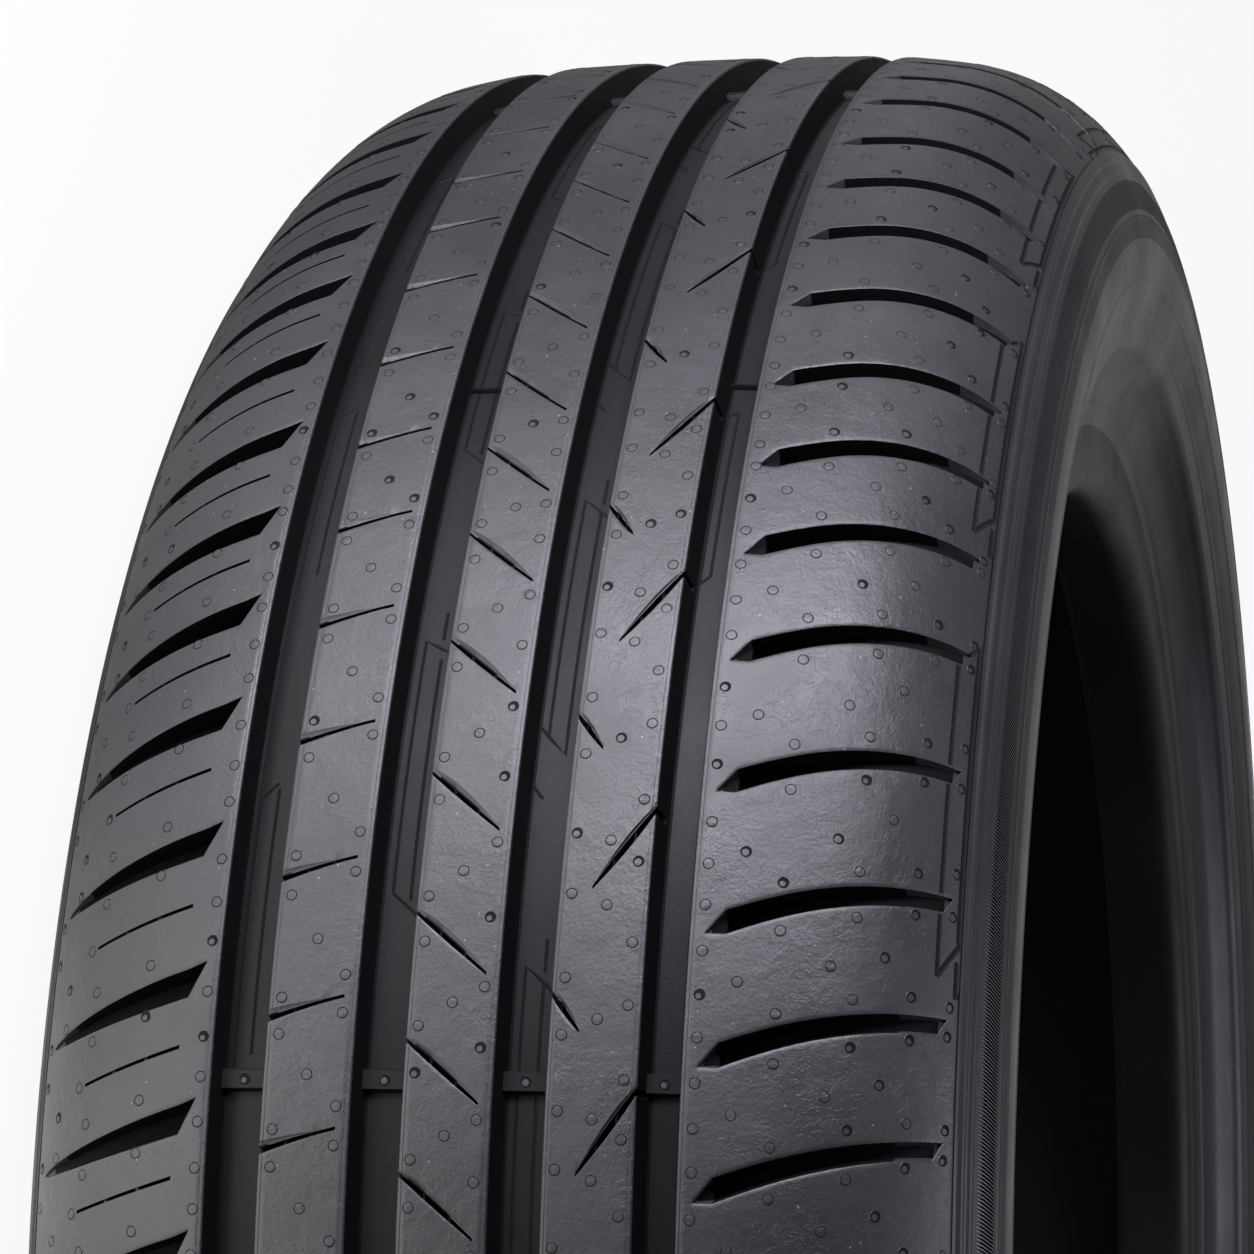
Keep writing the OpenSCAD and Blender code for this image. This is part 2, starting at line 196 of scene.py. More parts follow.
class Section:
    """The tyre's outside in section: three arcs, each tangent to the one before, then an S-shaped wall."""

    def __init__(self, casing):
        self.outer_r = casing.outer_d / 2
        self.rim_r = casing.rim_d / 2
        self.half_section = casing.section_w / 2
        self.half_span = casing.bead_span / 2
        self.half_crown = casing.crown_arc_w / 2
        self.half_tread = casing.tread_arc_w / 2
        self.crown_arc_r, self.tread_arc_r = casing.crown_arc_r, casing.tread_arc_r
        drop = self.crown_arc_r - np.sqrt(self.crown_arc_r**2 - self.half_crown**2)
        lean = self.half_crown / self.crown_arc_r
        self.tread_centre = (self.half_crown - self.tread_arc_r * lean,
                             self.outer_r - drop - self.tread_arc_r * np.sqrt(1 - lean**2))
        edge_sin = (self.half_tread - self.tread_centre[0]) / self.tread_arc_r
        edge_r = self.tread_centre[1] + self.tread_arc_r * np.sqrt(1 - edge_sin**2)
        self.shoulder_r = (self.half_section - self.half_tread) / (1 - edge_sin)
        self.shoulder_centre = (self.half_section - self.shoulder_r,
                                edge_r - self.shoulder_r * np.sqrt(1 - edge_sin**2))

    def tread_r(self, z):
        """Radius of the outside at distance z from the mid-plane, out to the widest place."""
        a = np.abs(z)

        def arc(centre, r):
            return centre[1] + np.sqrt(np.clip(r**2 - (a - centre[0])**2, 0, None))
        crown = arc((0, self.outer_r - self.crown_arc_r), self.crown_arc_r)
        return np.where(a <= self.half_crown, crown,
                        np.where(a <= self.half_tread, arc(self.tread_centre, self.tread_arc_r),
                                 arc(self.shoulder_centre, self.shoulder_r)))

    def shoulder_angle(self, z):
        """Angle on the shoulder's arc at distance z, from 0 at the widest place."""
        return np.arccos(np.clip((abs(z) - self.shoulder_centre[0]) / self.shoulder_r, -1, 1))

    def wall_points(self, start, steps):
        """Arc of the shoulder from angle start down to the widest place, as (z, radius) rows."""
        turn = np.linspace(start, 0, steps)
        return np.stack([self.shoulder_centre[0] + self.shoulder_r * np.cos(turn),
                         self.shoulder_centre[1] + self.shoulder_r * np.sin(turn)], -1)


def s_curve(top, bottom, steps):
    """Two equal arcs that leave top and reach bottom straight down, as (z, radius) rows."""
    dz, dr = top[0] - bottom[0], top[1] - bottom[1]
    turn = 2 * np.arctan2(dz, dr)
    r = dr / (2 * np.sin(turn))
    first, last = np.linspace(0, -turn, steps), np.linspace(np.pi - turn, np.pi, steps)[1:]
    upper = np.stack([top[0] - r + r * np.cos(first), top[1] + r * np.sin(first)], -1)
    lower = np.stack([bottom[0] + r + r * np.cos(last), bottom[1] + r * np.sin(last)], -1)
    return np.concatenate([upper, lower])


def pitches(tread):
    """Start and length of each pitch, as angles: a full turn shared out by the letters of the plan."""
    share = {"S": tread.short_pitch, "M": 1.0, "L": tread.long_pitch}
    shares = np.array([share[letter] for letter in tread.pitch_plan])
    lengths = 2 * np.pi * shares / shares.sum()
    return tread.first_pitch_at + np.concatenate([[0], np.cumsum(lengths)[:-1]]), lengths


# Where a feature sits in its pitch: degrees past its start, and a share of its length.
NEAR_CROSS = (1.46, 0.12)
FAR_CROSS = (-1.36, 0.43)
FAR_SIPE = (-1.63, 0.86)
RIB_2_SIPE = (0.07, 0.72)
RIB_3_SIPE = (3.46, -0.14)
RIB_4_SHORT = (0.71, 0.79)
RIB_4_LONG = (-0.25, 0.27)

# Widths of a sipe's upper and lower chamfer, how much wider than at its ends its slot gets, and its shape.
RIB_2_LOOK = (0.9, 0.5, 0.9, "wedge")
RIB_3_LOOK = (1.1, 0.6, 0.65, "lens")
RIB_4_SHORT_LOOK = (0.8, 0.8, 1.3, "lens")
RIB_4_LONG_LOOK = (0.6, 0.2, 2.6, "lens")
FAR_LOOK = (0.0, 0.0, 0.15, "wedge")


def placed(tread, place, every=1):
    """Angle of one feature in every pitch: the pitch's start, a shift, and a share of its length."""
    starts, lengths = pitches(tread)
    return (starts + np.radians(place[0]) + place[1] * lengths)[::every]


def columns(families, fills, radius):
    """Angles of a grid's columns round the tyre, as one row per pitch.

    Each family is (angle in every pitch, offsets of its columns round the tyre). Between one family and the
    next come evenly spaced fill columns. Also gives the slice of columns that each family takes.
    """
    blocks, slices, at = [], [], 0
    for k, (angles, offsets) in enumerate(families):
        last = k == len(families) - 1
        following = families[0 if last else k + 1]
        here = angles[:, None] + offsets[None, :] / radius
        then = following[0] + following[1][0] / radius
        if last:
            then = np.append(then[1:], then[0] + 2 * np.pi)
        share = np.arange(1, fills[k] + 1) / (fills[k] + 1)
        blocks += [here, here[:, -1:] + (then - here[:, -1])[:, None] * share]
        slices.append(slice(at, at + len(offsets)))
        at += len(offsets) + fills[k]
    return np.concatenate(blocks, axis=1), slices


def polar(a, r, z):
    """Points at angle a, radius r and distance z from the mid-plane, as (-r sin a, -r cos a, z)."""
    a, r, z = np.broadcast_arrays(a, r, z)
    return np.stack([-r * np.sin(a), -r * np.cos(a), z], -1)


def ring_points(angles, shift, z, radius, scale_r):
    """Grid points of shape (columns round the tyre, rows across it, 3).

    Every pitch has the same rows: a column at an angle is moved round by its shift at each row.
    """
    a = angles[:, :, None] + shift[None] / scale_r
    return polar(a, radius, z).reshape(-1, a.shape[2], 3)


def grid_faces(across, along, close_across=True, close_along=True, first=0):
    """Quads of a grid whose first index runs round the tyre and whose second runs over its section."""
    u = np.arange(across if close_across else across - 1)
    v = np.arange(along if close_along else along - 1)
    u, v = np.meshgrid(u, v, indexing="ij")
    un, vn = (u + 1) % across, (v + 1) % along
    quads = np.stack([u * along + v, u * along + vn, un * along + vn, un * along + v], -1)
    return quads.reshape(-1, 4) + first


def put_mesh(name, points, faces, materials, sharp=32, face_slots=None, attributes=None):
    """Makes a mesh object from points in millimetres and quads or triangles, with smooth shading that
    breaks where two faces meet at more than the sharp angle."""
    mesh = bpy.data.meshes.new(name)
    points = np.asarray(points, float).reshape(-1, 3)
    faces = [np.asarray(f, np.int32) for f in (faces if isinstance(faces, list) else [faces])]
    loops = np.concatenate([f.ravel() for f in faces])
    totals = np.concatenate([np.full(len(f), f.shape[1], np.int32) for f in faces])
    starts = np.concatenate([[0], np.cumsum(totals)[:-1]]).astype(np.int32)
    mesh.vertices.add(len(points))
    mesh.vertices.foreach_set("co", (points * MM).astype(np.float32).ravel())
    mesh.loops.add(len(loops))
    mesh.loops.foreach_set("vertex_index", loops)
    mesh.polygons.add(len(totals))
    mesh.polygons.foreach_set("loop_start", starts)
    mesh.polygons.foreach_set("use_smooth", np.ones(len(totals), bool))
    if face_slots is not None:
        mesh.polygons.foreach_set("material_index", np.asarray(face_slots, np.int32))
    for key, values in (attributes or {}).items():
        mesh.attributes.new(key, "FLOAT", "POINT").data.foreach_set(
            "value", np.asarray(values, np.float32).ravel())
    mesh.update(calc_edges=True)
    mesh.validate()
    mesh.set_sharp_from_angle(angle=np.radians(sharp))
    for skin in materials:
        mesh.materials.append(skin)
    piece = bpy.data.objects.new(name, mesh)
    bpy.context.scene.collection.objects.link(piece)
    return piece


def settle(piece, stands_for=False):
    """Gives a piece its body, and lets it stand for the CAD node."""
    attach(piece, BODY)
    if stands_for:
        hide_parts(NODE)
    return piece


def put_grids(name, grids, materials, closed=False, **looks):
    """One piece of many grids of points, which are open, or closed round their first index."""
    firsts = np.cumsum([0] + [grid[..., 0].size for grid in grids[:-1]])
    faces = np.concatenate([grid_faces(*grid.shape[:2], closed, False, first)
                            for grid, first in zip(grids, firsts)])
    points = np.concatenate([grid.reshape(-1, 3) for grid in grids])
    return settle(put_mesh(name, points, faces, materials, **looks))


# Share of the grooves' depth past which a face gets the cut rubber's black, which is painted shade: on the
# ribs, and on the shoulders, whose cross grooves have grey tips and ends.
RIB_CUT, SHOULDER_CUT = 0.08, 0.2


def grid_piece(name, points, materials, depth=None, cut_share=RIB_CUT, sharp=32, row_slots=None):
    """A closed ring from a grid of points, which stands for the CAD node.

    depth, one value per point as a share of the grooves' depth, goes to the material, and a face whose four
    corners lie deeper than cut_share on average gets the second material, which is painted shade. row_slots
    picks a material for each row's faces instead.
    """
    if depth is None:
        slots = np.tile(row_slots, points.shape[0])
    else:
        d = depth.reshape(points.shape[:2])
        d = (d + np.roll(d, -1, 0) + np.roll(d, -1, 1) + np.roll(d, (-1, -1), (0, 1))) / 4
        slots = (d > cut_share).ravel()
    made = put_mesh(name, points, grid_faces(points.shape[0], points.shape[1]), materials, sharp=sharp,
                    face_slots=slots, attributes=None if depth is None else {"cut_depth": depth})
    return settle(made, stands_for=True)


# Materials


class Nodes:
    """Adds nodes to one material or world, each fed by sockets or by plain values."""

    def __init__(self, owner):
        self.owner = owner
        owner.use_nodes = True
        self.tree = owner.node_tree
        self.tree.nodes.clear()

    def add(self, kind, settings=None, **inputs):
        """A node with its settings and inputs. An input goes by its socket's name, or by i and its index."""
        node = self.tree.nodes.new(kind)
        for key, value in (settings or {}).items():
            setattr(node, key, value)
        for key, value in inputs.items():
            socket = node.inputs[int(key[1:]) if key[0] == "i" and key[1:].isdigit()
                                 else key.replace("_", " ")]
            if isinstance(value, bpy.types.NodeSocket):
                self.tree.links.new(value, socket)
            else:
                socket.default_value = value
        return node

    def finish(self, shader, output="ShaderNodeOutputMaterial"):
        self.tree.links.new(shader, self.add(output).inputs["Surface"])
        return self.owner

    def noise(self, vector, scale, detail=4.0, roughness=0.55, distortion=0.0):
        return self.add("ShaderNodeTexNoise", Vector=vector, Scale=scale, Detail=detail, Roughness=roughness,
                        Distortion=distortion).outputs["Fac"]

    def bump(self, strength, distance, height, **below):
        return self.add("ShaderNodeBump", Strength=strength, Distance=distance, Height=height,
                        **below).outputs["Normal"]

    def ramp(self, value, low, high, to_low=0.0, to_high=1.0):
        """Value from low to high turned evenly into to_low to to_high, and clamped."""
        return self.add("ShaderNodeMapRange", {"clamp": True}, Value=value, From_Min=low, From_Max=high,
                        To_Min=to_low, To_Max=to_high).outputs["Result"]

    def mix(self, share, first, second):
        node = self.add("ShaderNodeMix", {"data_type": "RGBA"})
        for socket, value in ((node.inputs[0], share), (node.inputs[6], first), (node.inputs[7], second)):
            if isinstance(value, bpy.types.NodeSocket):
                self.tree.links.new(value, socket)
            else:
                socket.default_value = value
        return node.outputs[2]

    def maths(self, operation, first, second):
        return self.add("ShaderNodeMath", {"operation": operation}, i0=first, i1=second).outputs[0]


def opaque(rgb, factor=1.0):
    return [min(1.0, c * factor) for c in rgb] + [1.0]


def tread_rubber():
    """Satin black rubber with cloudy paler patches, dust, winding threads and a grain, and cuts darkened
    with depth as painted shade and made rougher.
    """
    finish = bpy.context.scene.tyre_finishes
    n = Nodes(bpy.data.materials.new("tread_rubber"))
    place = n.add("ShaderNodeTexCoord").outputs["Object"]
    depth = n.add("ShaderNodeAttribute", {"attribute_name": "cut_depth"}).outputs["Fac"]

    clouds = n.ramp(n.noise(place, scale=14, detail=5), 0.46, 0.72)
    streaks = n.ramp(n.noise(place, scale=60, roughness=0.65), 0.42, 0.75)
    patch = n.maths("MULTIPLY", clouds, n.maths("ADD", n.maths("MULTIPLY", streaks, 0.6), 0.4))
    rubber = n.mix(patch, opaque(finish.tread), opaque(finish.bloom))
    dust = n.add("ShaderNodeTexVoronoi", Vector=place, Scale=230).outputs["Distance"]
    rubber = n.mix(n.ramp(dust, 0.06, 0.03), rubber, opaque(finish.dust))
    # Painted shade: the colour darkens towards the groove colour with depth below the tread.
    rubber = n.mix(n.ramp(depth, 0.0, 1.0), rubber, opaque(finish.groove))

    rough = n.ramp(n.noise(place, scale=35, detail=5, roughness=0.6), 0.3, 0.7,
                   finish.roughness + 0.09, finish.roughness - 0.07)
    rough = n.maths("ADD", rough, n.ramp(depth, 0.05, 0.6, 0.0, 0.35))

    winding = n.noise(place, scale=190, detail=3, roughness=0.6, distortion=1.6)
    thread = n.ramp(n.maths("ABSOLUTE", n.maths("SUBTRACT", winding, 0.5), 0.0), 0.0, 0.03, 1, 0)
    thread = n.maths("MULTIPLY", thread, n.ramp(n.noise(place, scale=70, detail=3), 0.42, 0.6))
    grain = n.bump(0.45, 0.2 * MM, n.noise(place, scale=1300, roughness=0.65))
    threads = n.bump(0.35, 0.1 * MM, thread, Normal=grain)
    waves = n.bump(0.4, 0.8 * MM, n.noise(place, scale=150, roughness=0.6), Normal=threads)
    shader = n.add("ShaderNodeBsdfPrincipled", Base_Color=rubber, Roughness=rough, Normal=waves,
                   Specular_IOR_Level=0.8)
    return n.finish(shader.outputs[0])


def plain_rubber(name, rgb, roughness, gloss):
    """Moulded rubber with a faint cloudiness and a fine grain."""
    n = Nodes(bpy.data.materials.new(name))
    place = n.add("ShaderNodeTexCoord").outputs["Object"]
    clouds = n.ramp(n.noise(place, scale=22, detail=5), 0.35, 0.75)
    rubber = n.mix(clouds, opaque(rgb, 0.88), opaque(rgb, 1.3))
    rough = n.ramp(n.noise(place, scale=40), 0.3, 0.7, roughness + 0.05, roughness - 0.05)
    grain = n.bump(0.25, 0.2 * MM, n.noise(place, scale=900, detail=3))
    shader = n.add("ShaderNodeBsdfPrincipled", Base_Color=rubber, Roughness=rough, Normal=grain,
                   Specular_IOR_Level=gloss)
    return n.finish(shader.outputs[0])


# Each plain rubber's colour, roughness and gloss. The groove, cut and gap rubbers are darker than the tread
# as painted shade, and the rib rubber, in the paler bloom colour, is a painted highlight.
PLAIN_RUBBERS = {
    "wall_rubber": ("wall", 0.44, 0.45), "groove_rubber": ("groove", 0.5, 0.22),
    "cut_rubber": ("cut", 0.65, 0.12), "rib_rubber": ("bloom", 0.45, 0.8),
    "liner_rubber": ("liner", 0.5, 0.25), "vent_gap": ("painted_gap_shade", 0.7, 0.1),
}


def material(name):
    """The material of that name, made the first time it is asked for."""
    if name in bpy.data.materials:
        return bpy.data.materials[name]
    if name == "tread_rubber":
        return tread_rubber()
    rgb, roughness, gloss = PLAIN_RUBBERS[name]
    return plain_rubber(name, getattr(bpy.context.scene.tyre_finishes, rgb), roughness, gloss)


# Casing


def both_ways(rows, side):
    """Section rows for the near side as they are, or mirrored for the far side."""
    rows = np.asarray(rows, float)
    return rows if side > 0 else np.stack([-rows[::-1, 0], rows[::-1, 1]], -1)


def turned(section, steps):
    """Points of a section of (z, radius) rows swept once round the axis."""
    return polar(np.linspace(0, 2 * np.pi, steps, endpoint=False)[:, None], section[:, 1], section[:, 0])


RING_SLOPE = 0.3


def raised(rows, measure, rings):
    """Section rows moved out along their normals by rings, each (place, width, height).

    measure is 0 where the places are distances from the mid-plane, and 1 where they are radii. A ring is a
    flat-topped bump: full height over its width, with narrow sloping sides.
    """
    along = np.gradient(rows, axis=0)
    along /= np.linalg.norm(along, axis=1)[:, None]
    normal = np.stack([-along[:, 1], along[:, 0]], -1)
    height = np.zeros(len(rows))
    for place, width, tall in rings:
        away = np.abs(rows[:, measure] - place) - width / 2
        height += tall * np.clip(0.5 - away / RING_SLOPE, 0, 1)
    return rows + normal * height[:, None]


# Distance from the mid-plane at which the tread's pieces end and the sidewalls begin.
SHOULDER_END = 95.1
# Rings as (place, width, height): on the shoulder by distance from the mid-plane, and on the wall by radius.
SHOULDER_RINGS = ((96.45, 0.75, 0.5), (97.85, 0.6, 0.4), (101.75, 0.2, 0.4))
WALL_RINGS = ((257, 1.2, 0.3), (247.5, 1.0, 0.3), (225.5, 1.2, 0.5))
# Width and height of the ring on the rim protector's crest.
CREST_RING = (2.6, 0.35)
# Radius below which the sidewall is dull like the liner, and a dull band between two rings on its shoulder.
DULL_BELOW = 221
DULL_BAND = (101.9, 102.5)
# Sidewall rows hidden under the shoulder, as (z, depth below the tread).
UNDER_ROWS = ((54, 8.6), (60, 8.6), (74, 8), (86, 6.5))


def wall_section(s, casing):
    """Closed section of the near sidewall: from under the shoulder out over the rings, the rim protector and
    the bead, and back along the liner. Also tells which rows are dull: the bead, the liner and a band."""
    shoulder = s.wall_points(s.shoulder_angle(SHOULDER_END + 0.25), steps=66)
    shoulder = raised(shoulder, 0, SHOULDER_RINGS)
    wall = s_curve((s.half_section, s.shoulder_centre[1]), (s.half_span, s.rim_r + casing.flange_h),
                   steps=34)[1:]
    crest_r = casing.protector_d / 2
    off_crest = np.clip(2 * np.abs(wall[:, 1] - crest_r) / casing.protector_w, 0, 1)
    wall[:, 0] += casing.protector_h * (1 + np.cos(np.pi * off_crest)) / 2
    wall = raised(wall, 1, [*WALL_RINGS, (crest_r, *CREST_RING)])
    turn = np.linspace(0, -np.pi / 2, 6)
    heel = np.stack([s.half_span - casing.heel_r + casing.heel_r * np.cos(turn),
                     s.rim_r + casing.heel_r + casing.heel_r * np.sin(turn)], -1)
    toe = s.half_span - casing.bead_base_w
    base = [(toe + 2, s.rim_r), (toe, s.rim_r + 2)]
    liner_top = s.shoulder_centre[1] - 4
    liner_r = s.outer_r - casing.crown_gauge - liner_top
    inside = s_curve((s.half_section - casing.wall_gauge, liner_top), (toe + 2, s.rim_r + 10), steps=9)[::-1]
    turn = np.linspace(0, np.pi / 2, 14)[1:]
    liner = np.stack([s.half_section - casing.wall_gauge - liner_r + liner_r * np.cos(turn),
                      liner_top + liner_r * np.sin(turn)], -1)
    end_r = s.tread_r(SHOULDER_END)
    under = [(z, s.tread_r(z) - depth) for z, depth in UNDER_ROWS]
    under += [(SHOULDER_END - 0.8, end_r - 4.5), (SHOULDER_END - 0.05, end_r - 1.6)]
    parts = [under, shoulder, wall, heel, base, inside, liner]
    rows = np.concatenate(parts)
    z, r = rows.T
    is_dull = np.repeat([0, 0, 0, 1, 1, 1, 1], [len(part) for part in parts]) | (r < DULL_BELOW)
    is_dull |= (z > DULL_BAND[0]) & (z < DULL_BAND[1]) & (r > s.shoulder_centre[1])
    return rows, is_dull


# Half widths of the crown's outside and inside, and past which distance its outside sinks, and how far.
CROWN_OUTSIDE, CROWN_INSIDE = 58, 56
CROWN_SINKS_AT, CROWN_SINK = 50, 1.2


class TYRE_OT_casing(bpy.types.Operator):
    """Add the crown under the tread, and the two sidewalls with their rings, beads and liner"""
    bl_idname = "tyre.casing"
    bl_label = "Casing"

    def execute(self, context):
        casing, tread, _ = sizes()
        s = Section(casing)
        z = np.linspace(-CROWN_OUTSIDE, CROWN_OUTSIDE, 41)
        top = np.stack([z, s.tread_r(z) - tread.groove_depth], -1)
        top[np.abs(z) > CROWN_SINKS_AT, 1] -= CROWN_SINK
        z = np.linspace(CROWN_INSIDE, -CROWN_INSIDE, 9)
        bottom = np.stack([z, np.full(len(z), s.outer_r - casing.crown_gauge)], -1)
        crown = turned(np.concatenate([top, bottom]), casing.steps)
        inner = np.repeat([0, 1], [len(top), len(bottom)])
        # The crown's outside, seen as the groove floors, takes the groove rubber's painted shade.
        grid_piece("crown", crown, [material("groove_rubber"), material("liner_rubber")], row_slots=inner)
        near, is_dull = wall_section(s, casing)
        for name, side in (("sidewall_near", 1), ("sidewall_far", -1)):
            slots = is_dull if side > 0 else np.roll(is_dull[::-1], -1)
            grid_piece(name, turned(both_ways(near, side), casing.steps),
                       [material("wall_rubber"), material("liner_rubber")], sharp=40, row_slots=slots)
        return {"FINISHED"}


# Tread


# Distance between two rows on the flat of the tread, and how near to a groove's edge none of them lies.
ROW_STEP = 1.9
EDGE_CLEAR = 1.05


def edge_rows(edge, side, tread):
    """Rows of one side of a rib, from under the groove's floor to its rounded top edge, as (z, depth)."""
    d, lean = tread.groove_depth, tread.groove_lean
    steps = [(-2.0, d + 1.2), (lean + 1.2, d + 0.1), (lean + 0.45, d - 0.2), (lean, d - 0.9),
             (0.12, 0.5), (-0.1, 0.14), (-0.5, 0.0), (-0.72, 0.0), (-0.82, 0.07), (-0.95, 0.0)]
    return [(edge + side * dz, depth) for dz, depth in steps]


def rib_rows(left, right, tread, specials):
    """All the rows of a rib between two straight grooves: its z values and the depth of each."""
    top = np.linspace(left + ROW_STEP, right - ROW_STEP, int((right - left) / ROW_STEP))
    top = np.unique(np.concatenate([top, specials]))
    top = top[(top > left + EDGE_CLEAR) & (top < right - EDGE_CLEAR)]
    rows = edge_rows(left, -1, tread) + [(z, 0.0) for z in top] + edge_rows(right, 1, tread)[::-1]
    return np.array(rows).T


# Shares of a sipe's length at which ties bridge its slot, half a tie's length, and the slot's depth there.
TIES = (0.34, 0.68)
TIE_HALF = 0.016
TIE_DEPTH = 0.9


def sipe_rows(start, end):
    """Rows that a sipe needs: two pairs at each tie, a few between, and a pair at its closed end."""
    shares = [t + k for t in TIES for k in (-TIE_HALF - 0.006, -TIE_HALF, TIE_HALF, TIE_HALF + 0.006)]
    shares += [0.12, 0.22, 0.5, 0.85, 0.995, 1.003]
    return start + (end - start) * np.array(shares)


# Offsets round the tyre of the columns at a sipe, which its shape then moves.
SIPE_OFFSETS = np.array([-2.5, -1.5, -0.9, -0.36, -0.34, 0.34, 0.36, 1.0, 1.9, 2.8])


def sipe_family(z, start, end, tread, upper, lower, widen, shape):
    """Shift and depth of a sipe's ten columns at each row.

    Going up round the tyre: flat tread, lower chamfer, slot down and up again, ledge, upper chamfer, tread.
    upper and lower are the chamfers' widths, and widen is how much wider than at its ends the slot gets. All
    three follow shape: a wedge is widest at the groove and closes towards the sipe's end, and a lens is
    widest past its middle.
    """
    t = np.clip((z - start) / (end - start), 0, None)
    inside = t <= 1
    wedge, lens = np.clip(1 - t / 0.8, 0, 1), np.sin(np.pi * np.clip(t * 0.85 + 0.15, 0, 1))
    swell = np.where(inside, wedge if shape == "wedge" else lens, 0)
    up, low, half = upper * swell, lower * swell, tread.sipe_w / 2 * (1 + widen * swell)
    slot = np.where(inside, tread.sipe_depth, 0)
    for tie in TIES:
        slot = np.where(np.abs(t - tie) < TIE_HALF + 0.001, np.minimum(slot, TIE_DEPTH), slot)
    half = np.where(inside, half, half * 0.6)
    zero = np.zeros_like(t)
    ledge = 0.4 * np.minimum(1, up)
    at = [zero - 2.5, -half - low - 0.25, -half - low - 0.02, -half, -half + 0.04, half - 0.04, half,
          half + ledge + 0.02, half + ledge + up + 0.04, zero + 2.8]
    at[7] = np.maximum(at[7], half + 0.1)
    at[8] = np.maximum(at[8], half + 0.2)
    deep = [zero, zero, zero, 0.3 * low, slot, slot, 0.75 * up, 0.7 * up, zero, zero]
    return np.stack(at) - SIPE_OFFSETS[:, None], np.stack(deep)


def tread_ring(name, z, base, shift, families, fills, s, tread, cut_share=RIB_CUT):
    """A closed ring of the tread whose columns follow its cuts across it.

    z, base and shift are each row's place, depth and shift round the tyre. Each family of cuts is (angle in
    every pitch, offsets of its columns, their further shift and their depth by column and row).
    """
    layout, places = columns([family[:2] for family in families], fills, s.outer_r)
    shift = np.tile(shift, (layout.shape[1], 1))
    depth = np.tile(base, (layout.shape[1], 1))
    for (*_, moved, cut), place in zip(families, places):
        shift[place] += moved
        depth[place] = np.maximum(depth[place], cut)
    points = ring_points(layout, shift, z, s.tread_r(z) - depth, s.outer_r)
    deep = np.tile(depth / tread.groove_depth, (layout.shape[0], 1, 1))
    # Faces deep in the cuts get the cut rubber's painted shade.
    return grid_piece(name, points, [material("tread_rubber"), material("cut_rubber")], depth=deep,
                      cut_share=cut_share)


def rib(name, groove_edges, sipes, tread, s, warp, fills):
    """A rib between two straight grooves. Its sipes are (angles, start, end, look), and warp is the shift
    round the tyre at each row."""
    z, base = rib_rows(*groove_edges, tread, np.concatenate([sipe_rows(*sipe[1:3]) for sipe in sipes]))
    inner_z = np.clip(z, *groove_edges)
    families = [(angles, SIPE_OFFSETS, *sipe_family(inner_z, start, end, tread, *look))
                for angles, start, end, look in sipes]
    return tread_ring(name, z, base, warp(inner_z), families, fills, s, tread)


def rib_edges(tread):
    """Where each straight groove starts and ends."""
    return tread.groove_at - tread.groove_w / 2, tread.groove_at + tread.groove_w / 2


# Where the sipes of the ribs end, how much those of rib 3 slope, and where rib 4 turns from one slope to the
# other, with both slopes.
RIB_2_SIPE_END, RIB_3_SIPE_END = -24.0, 5.0
RIB_3_SLOPE = 0.81
RIB_4_SHORT_END, RIB_4_LONG_END, RIB_4_TURN = 24.6, 25.2, 24.9
RIB_4_SLOPES = (1.24, 1.443)


class TYRE_OT_ribs(bpy.types.Operator):
    """Add the three ribs between the straight grooves, with their sipes"""
    bl_idname = "tyre.ribs"
    bl_label = "Ribs"

    def execute(self, context):
        casing, tread, _ = sizes()
        s = Section(casing)
        left, right = rib_edges(tread)

        edges = (right[0], left[1])
        middle, slope, bend = -39.4, 0.36, 0.0039
        rib("rib_2", edges, [(placed(tread, RIB_2_SIPE), edges[0], RIB_2_SIPE_END, RIB_2_LOOK)], tread, s,
            lambda z: slope * (z - middle) - bend * (z - middle)**2, [8])

        edges = (right[1], left[2])
        rib("rib_3", edges, [(placed(tread, RIB_3_SIPE), edges[0], RIB_3_SIPE_END, RIB_3_LOOK)], tread, s,
            lambda z: -RIB_3_SLOPE * (z + 10.5), [8])

        edges = (right[2], left[3])

        def warp(z):
            inner, outer = np.minimum(z, RIB_4_TURN) - edges[0], np.maximum(z - RIB_4_TURN, 0)
            return -RIB_4_SLOPES[0] * inner + RIB_4_SLOPES[1] * outer
        long_at = placed(tread, RIB_4_LONG, 2) - warp(np.array(edges[1])) / s.outer_r
        rib("rib_4", edges, [(long_at, edges[1], RIB_4_LONG_END, RIB_4_LONG_LOOK),
                             (placed(tread, RIB_4_SHORT, 2), edges[0], RIB_4_SHORT_END, RIB_4_SHORT_LOOK)],
            tread, s, warp, [7, 9])
        return {"FINISHED"}


def shoulder_rows(edge, side, tread, specials):
    """All the rows of a shoulder, from its wall in the straight groove to its outer end and back beneath,
    with their depths. side is 1 for the near shoulder."""
    edge = abs(edge)
    evenly = np.arange(edge + ROW_STEP, SHOULDER_END - 1, ROW_STEP)
    top = np.unique(np.concatenate([evenly, np.abs(specials)]))
    top = top[(top > edge + EDGE_CLEAR) & (top < SHOULDER_END - 0.5)]
    outward = np.array(edge_rows(edge, -1, tread) + [(z, 0.0) for z in top])
    end = [(SHOULDER_END - 0.3, 0.0), (SHOULDER_END, 0.25), (SHOULDER_END + 0.02, 1.6),
           (SHOULDER_END - 1.5, 4.0), (86, 8.5), (72, 9.2), (58, 9.2)]
    z, depth = np.concatenate([outward, end]).T
    return (z, depth) if side > 0 else (-z[::-1], depth[::-1])


# Distance from the mid-plane from which the cross grooves' bends are measured, and the depth of their lips.
BENDS_FROM = 60
LIP_DEPTH = 0.18


